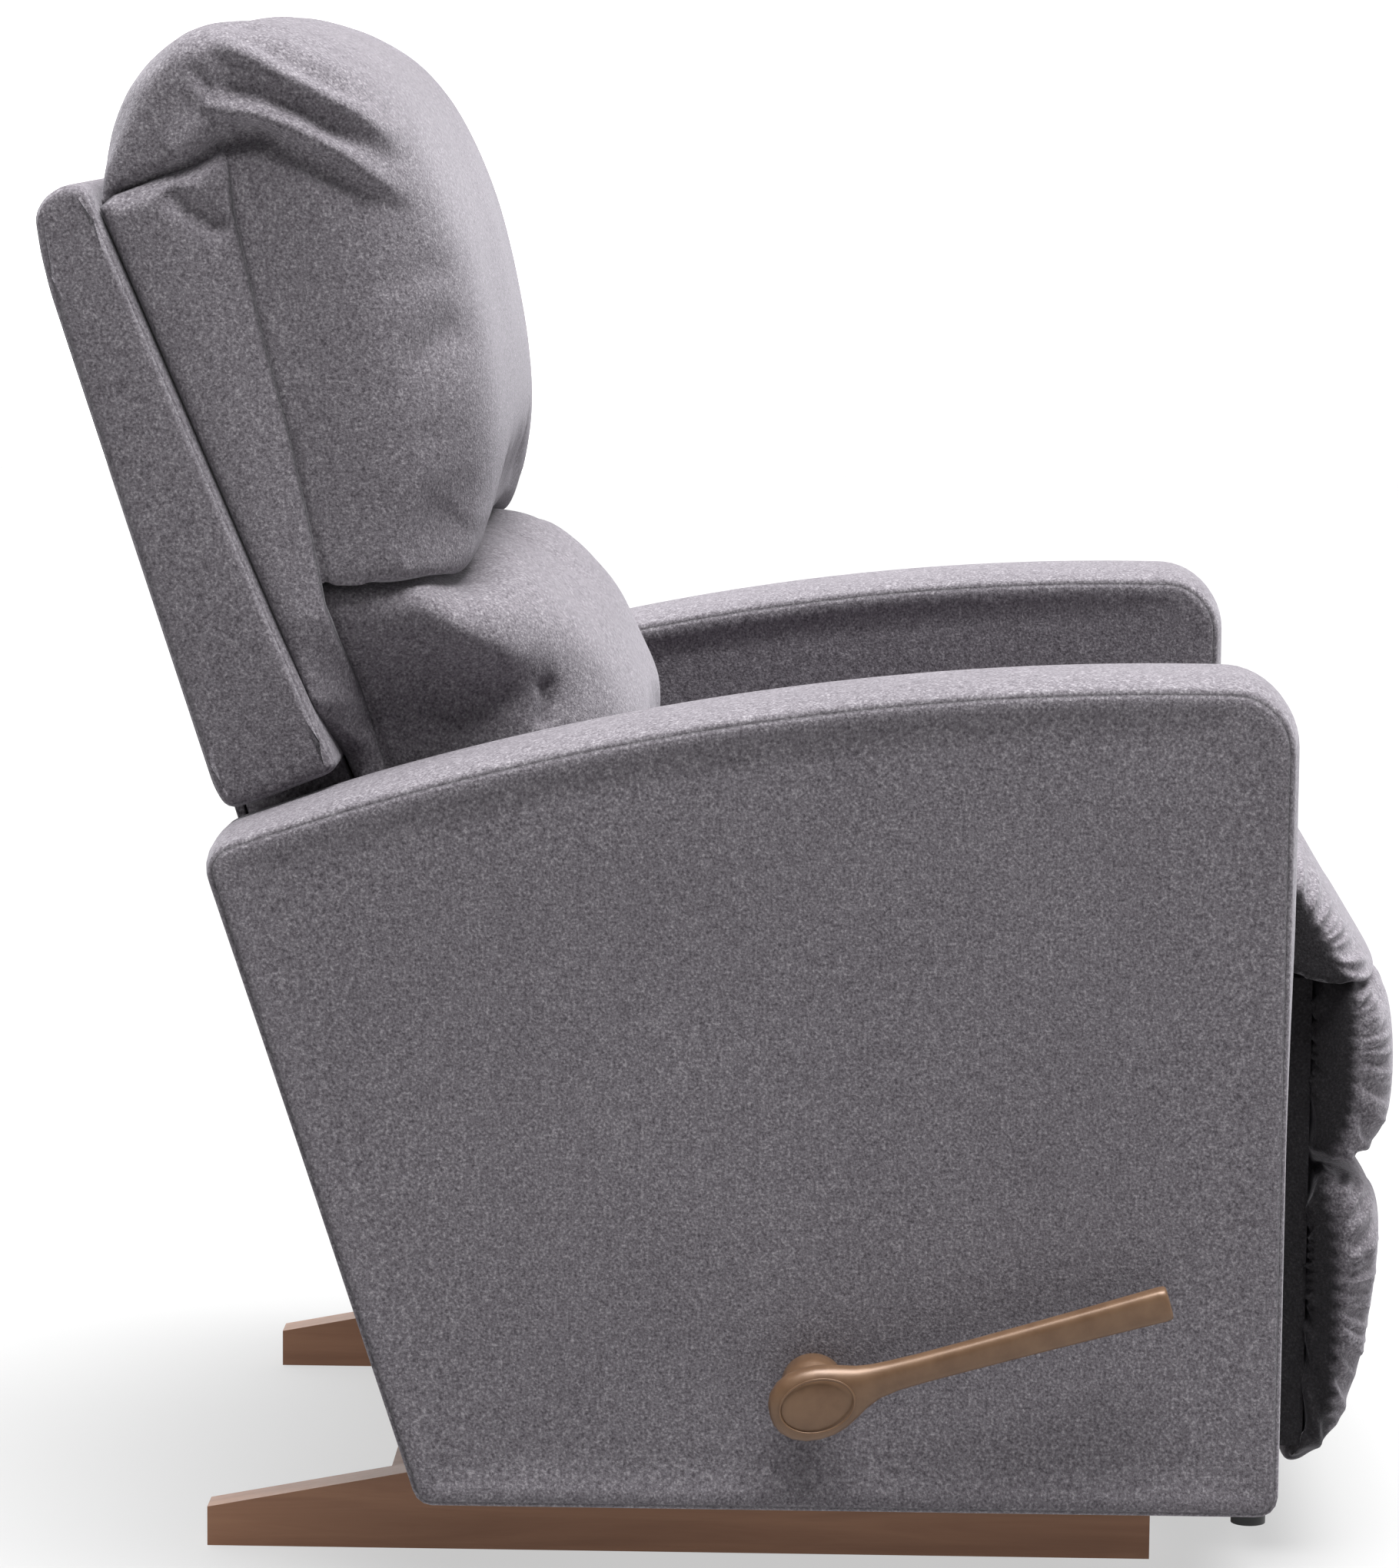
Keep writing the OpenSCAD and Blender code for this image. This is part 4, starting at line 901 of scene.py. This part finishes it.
def tuck_and_shade(obj, edge, tuck=0.050):
    """Pulls the rear of a pad's sides in to the board and darkens them there with near-black painted shade for the
    hollow; edge(z) is where that begins.
    """
    points = positions(obj)
    side = np.abs(points[:, 0] - MID)
    behind = ease(points[:, 1] - edge(points[:, 2]), 0, 0.008)
    pull = tuck * ease(points[:, 1], -0.402, -0.380) * ease(side, 0.225, 0.260)
    points[:, 0] = MID + (points[:, 0] - MID) * (1 - pull)
    set_positions(obj, points)
    # Painted shade, near black, on the rear of the sides where the hollow lies in shadow
    paint_shade(obj, behind * ease(side, 0.225, 0.245))


def gathers(p, centre, count, height, reach, seed):
    """Gathered cloth at the two sides of a pad: ridges that fan out from a point behind it."""
    side = PAD_HALF - np.abs(p[:, 0] - MID)
    angle = np.arctan2(p[:, 2] - centre[1], centre[0] - p[:, 1])
    rng = np.random.default_rng(seed)
    wave = np.zeros(len(p))
    for k in range(count):
        at = -1.45 + 2.9 * (k + rng.uniform(0.2, 0.8)) / count
        wave += rng.uniform(0.5, 1.0) * bell(angle - at, 0.9 / count)
    return height * (wave - 0.45) * (1 - ease(side, reach * 0.25, reach)) * ease(side, -0.001, 0.004)


def legrest_pad(name, mid, rim, replaced, centre, count, seed, edge):
    """One pad of the legrest: its cushion, the gathers round centre at its sides and the painted shade behind edge(z).
    """
    pad = cushion(name, mid, rim, PAD_HALF, 0.5, boxy=6)
    puffed(pad, pad_held, 0.004, voxel=0.006, slack=0.03)
    shaped(pad, lambda p: gathers(p, centre, count, 0.0055, 0.055, seed))
    tuck_and_shade(pad, edge)
    finish_piece(pad, "legrest", "upholstery", replaced, fill=0.8)


legrest_pad("legrest_upper", upper_mid, upper_rim, "legrest_pad_upper", (-0.362, 0.345), 19, 11,
            lambda z: -0.4065 + 0.014 * bell(z - 0.262, 0.026) + 0.0018 * np.sin(z * 620))
legrest_pad("legrest_lower", lower_mid, lower_rim, "legrest_pad_lower", (-0.360, 0.190), 21, 13,
            lambda z: -0.3985 + 0.008 * bell(z - 0.250, 0.026) + 0.0022 * np.sin(z * 540))
bridge = cushion("chaise_flap", bridge_mid, bridge_rim, PAD_HALF, 0.5, boxy=6)
shaped(bridge, lambda p: gathers(p, (-0.356, 0.400), 13, 0.0045, 0.055, 17))
tuck_and_shade(bridge, lambda z: -0.366 - 0.60 * (0.446 - z) + 0.0016 * np.sin(z * 580), tuck=0)
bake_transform(bridge)
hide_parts("chaise_bridge")


# ---------- rocker springs ----------
ROCK_Y = 0.035  # where the rockers touch the rails at rest
SPRING_LOW, SPRING_HIGH = 0.058, 0.114  # brackets under and over the springs


def rocker_springs():
    """Four coil springs, with their end turns flat on the brackets."""
    wire, radius, turns, flat = 0.00225, 0.013, 4, 0.6
    play = 0.0003
    sides, steps = 12, 24
    low, high = SPRING_LOW + wire + play, SPRING_HIGH - wire - play
    verts, faces = [], []
    for x in (-0.219, 0.219):
        for y in (ROCK_Y - 0.044, ROCK_Y + 0.044):
            t = np.arange(turns * steps + 1) / steps
            share = np.clip((t - flat) / (turns - 2 * flat), 0, 1)
            turn = 2 * math.pi * t
            rise = low + (high - low) * share
            path = np.column_stack([MID + x + radius * np.cos(turn), y + radius * np.sin(turn), rise])
            along = np.gradient(path, axis=0)
            along /= np.linalg.norm(along, axis=1)[:, None]
            flat_side = np.cross((0, 0, 1), along)
            flat_side /= np.linalg.norm(flat_side, axis=1)[:, None]
            other = np.cross(along, flat_side)
            first = len(verts)
            angles = 2 * math.pi * np.arange(sides) / sides
            for p, u, v in zip(path, flat_side, other):
                verts += [p + wire * (math.cos(a) * u + math.sin(a) * v) for a in angles]
            for j in range(len(path) - 1):
                for k in range(sides):
                    a, b = first + j * sides + k, first + j * sides + (k + 1) % sides
                    faces.append((a, b, b + sides, a + sides))
            faces.append(tuple(range(first, first + sides)))
            faces.append(tuple(range(len(verts) - sides, len(verts))))
    return add_mesh("coil_springs", verts, faces, SPRING)


piece = rocker_springs()
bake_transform(piece)
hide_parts("rocker_springs")


# ---------- handle ----------
SHAFT = np.array([-0.055, 0.152])
LEVER_RISE = 16  # degrees, from the hub to the tip


def lever():
    """One-piece lever: a flattened oval hub, a neck, and a bar that widens to its flat tip."""
    rise = math.radians(180 - LEVER_RISE)
    ex, ez = np.array([math.cos(rise), math.sin(rise)]), np.array([-math.sin(rise), math.cos(rise)])
    back = ARM_OUT + 0.024
    hub_drop = 0.0034
    # Along the lever, half width, half thickness, place of the middle of the thickness, squareness of the section
    stations = (
        (-0.0285, 0.0008, 0.0030, 0.0120, 2.2), (-0.0277, 0.0072, 0.0070, 0.0120, 2.2),
        (-0.0250, 0.0128, 0.0095, 0.0120, 2.4), (-0.0190, 0.0183, 0.0110, 0.0120, 2.6),
        (-0.0110, 0.0217, 0.0118, 0.0120, 2.8), (-0.0020, 0.0229, 0.0120, 0.0120, 2.8),
        (0.0070, 0.0223, 0.0118, 0.0120, 2.8), (0.0150, 0.0203, 0.0112, 0.0118, 2.6),
        (0.0230, 0.0170, 0.0103, 0.0114, 2.5), (0.0310, 0.0134, 0.0094, 0.0110, 2.4),
        (0.0400, 0.0108, 0.0088, 0.0107, 2.4), (0.0520, 0.0095, 0.0085, 0.0105, 2.5),
        (0.0700, 0.0090, 0.0083, 0.0105, 2.6), (0.1000, 0.0090, 0.0083, 0.0105, 2.8),
        (0.1400, 0.0093, 0.0084, 0.0105, 3.0), (0.1800, 0.0098, 0.0086, 0.0105, 3.2),
        (0.2100, 0.0103, 0.0088, 0.0105, 3.4), (0.2230, 0.0105, 0.0089, 0.0105, 3.6),
        (0.2268, 0.0102, 0.0086, 0.0105, 3.4), (0.2280, 0.0092, 0.0076, 0.0105, 3.0),
        (0.2283, 0.0045, 0.0035, 0.0105, 2.4),
    )
    rings = []
    for s, w, t, c, q in stations:
        ring = []
        for k in range(48):
            a = 2 * math.pi * k / 48
            ca, sa = math.cos(a), math.sin(a)
            u = w * math.copysign(abs(ca) ** (2 / q), ca)
            v = t * math.copysign(abs(sa) ** (2 / q), sa)
            yz = SHAFT + s * ex + (u + hub_drop * (1 - ease(s, 0.010, 0.050))) * ez
            ring.append((MID - (back + c + v), yz[0], yz[1]))
        rings.append(ring)
    return rings_to_mesh("lever", rings, BRONZE)


def oval_ring(name, centre, long_half, short_half, thick, x, lean):
    """A raised oval line on the hub."""
    steps, sides = 72, 8
    rings = []
    for i in range(steps):
        a = 2 * math.pi * i / steps
        u, v = long_half * math.cos(a), short_half * math.sin(a)
        n = Vector((math.cos(a) / long_half, math.sin(a) / short_half)).normalized()
        ring = []
        for k in range(sides):
            b = 2 * math.pi * k / sides
            p = (u + n[0] * thick * math.cos(b), v + n[1] * thick * math.cos(b))
            y = centre[0] + p[0] * math.cos(lean) - p[1] * math.sin(lean)
            z = centre[1] + p[0] * math.sin(lean) + p[1] * math.cos(lean)
            ring.append((MID - (x + thick * 0.6 * math.sin(b)), y, z))
        rings.append(ring)
    verts = np.array(rings).reshape(-1, 3)
    faces = []
    for i in range(steps):
        for k in range(sides):
            here, beyond, turn = i * sides, (i + 1) % steps * sides, (k + 1) % sides
            faces.append((here + k, here + turn, beyond + turn, beyond + k))
    return add_mesh(name, verts, faces, BRONZE)


piece = lever()
finish_piece(piece, "drive", "bronze_paint", "handle_lever")


def turned(name, profile, centre, material, count=48):
    """A round piece along X: profile is a list of (distance from the arm's face, radius)."""
    angles = 2 * math.pi * np.arange(count) / count
    circle = np.column_stack([np.cos(angles), np.sin(angles)])
    return rings_to_mesh(name, [across_chair(-ARM_OUT - x, centre + r * circle) for x, r in profile], material)


boss = ((0.0006, 0.0195), (0.002, 0.0200), (0.018, 0.0200), (0.0225, 0.0192), (0.0245, 0.0175), (0.030, 0.0165))
piece = turned("hub_boss", boss, SHAFT, BRONZE)
finish_piece(piece, "drive", "bronze_paint")
piece = oval_ring("hub_oval", (-0.0577, 0.1492), 0.0236, 0.0165, 0.0008, 0.4677, math.radians(-LEVER_RISE))
finish_piece(piece, "drive", "bronze_paint", "handle_plate")


# ---------- stage ----------
def stage():
    """A pale floor, a lit backdrop and one soft light above."""
    mat, tree, shader = new_material("floor_paper")
    grain = node(tree, "ShaderNodeTexNoise", Scale=3.0, Detail=2.0)
    tones = ramp(tree, [(0.2, (0.15, 0.15, 0.15)), (0.8, (0.16, 0.16, 0.16))])
    shader.inputs["Emission Color"].default_value = (1, 1, 1, 1)
    shader.inputs["Emission Strength"].default_value = 0.55
    tree.links.new(grain.outputs[0], tones.inputs[0])
    tree.links.new(tones.outputs[0], shader.inputs["Base Color"])
    shader.inputs["Roughness"].default_value = 0.9
    shader.inputs["Specular IOR Level"].default_value = 0.1
    quad = [(0, 1, 2, 3)]
    floor = add_mesh("floor", [(-60, -60, 0), (60, -60, 0), (60, 60, 0), (-60, 60, 0)], quad, mat, smooth=False)
    mat, tree, shader = new_material("lit_backdrop")
    shader.inputs["Base Color"].default_value = (0.8, 0.8, 0.8, 1)
    shader.inputs["Emission Color"].default_value = (1, 1, 1, 1)
    shader.inputs["Emission Strength"].default_value = 1.0
    wall = add_mesh("backdrop", [(9, -30, -1), (9, 30, -1), (9, 30, 14), (9, -30, 14)], quad, mat, smooth=False)
    world = bpy.data.worlds.new("studio")
    world.use_nodes = True
    back = world.node_tree.nodes["Background"]
    back.inputs["Color"].default_value = (1, 1, 1, 1)
    back.inputs["Strength"].default_value = 0.14
    bpy.context.scene.world = world
    data = bpy.data.lights.new("softbox_above", "SUN")
    data.energy = 10.4
    data.angle = math.radians(48)
    lamp = bpy.data.objects.new("softbox_above", data)
    bpy.context.collection.objects.link(lamp)
    lamp.rotation_euler = Vector((-0.03, -0.11, 0.99)).to_track_quat("Z", "Y").to_euler()
    bpy.context.scene.view_settings.view_transform = "Standard"


place_camera()
stage()
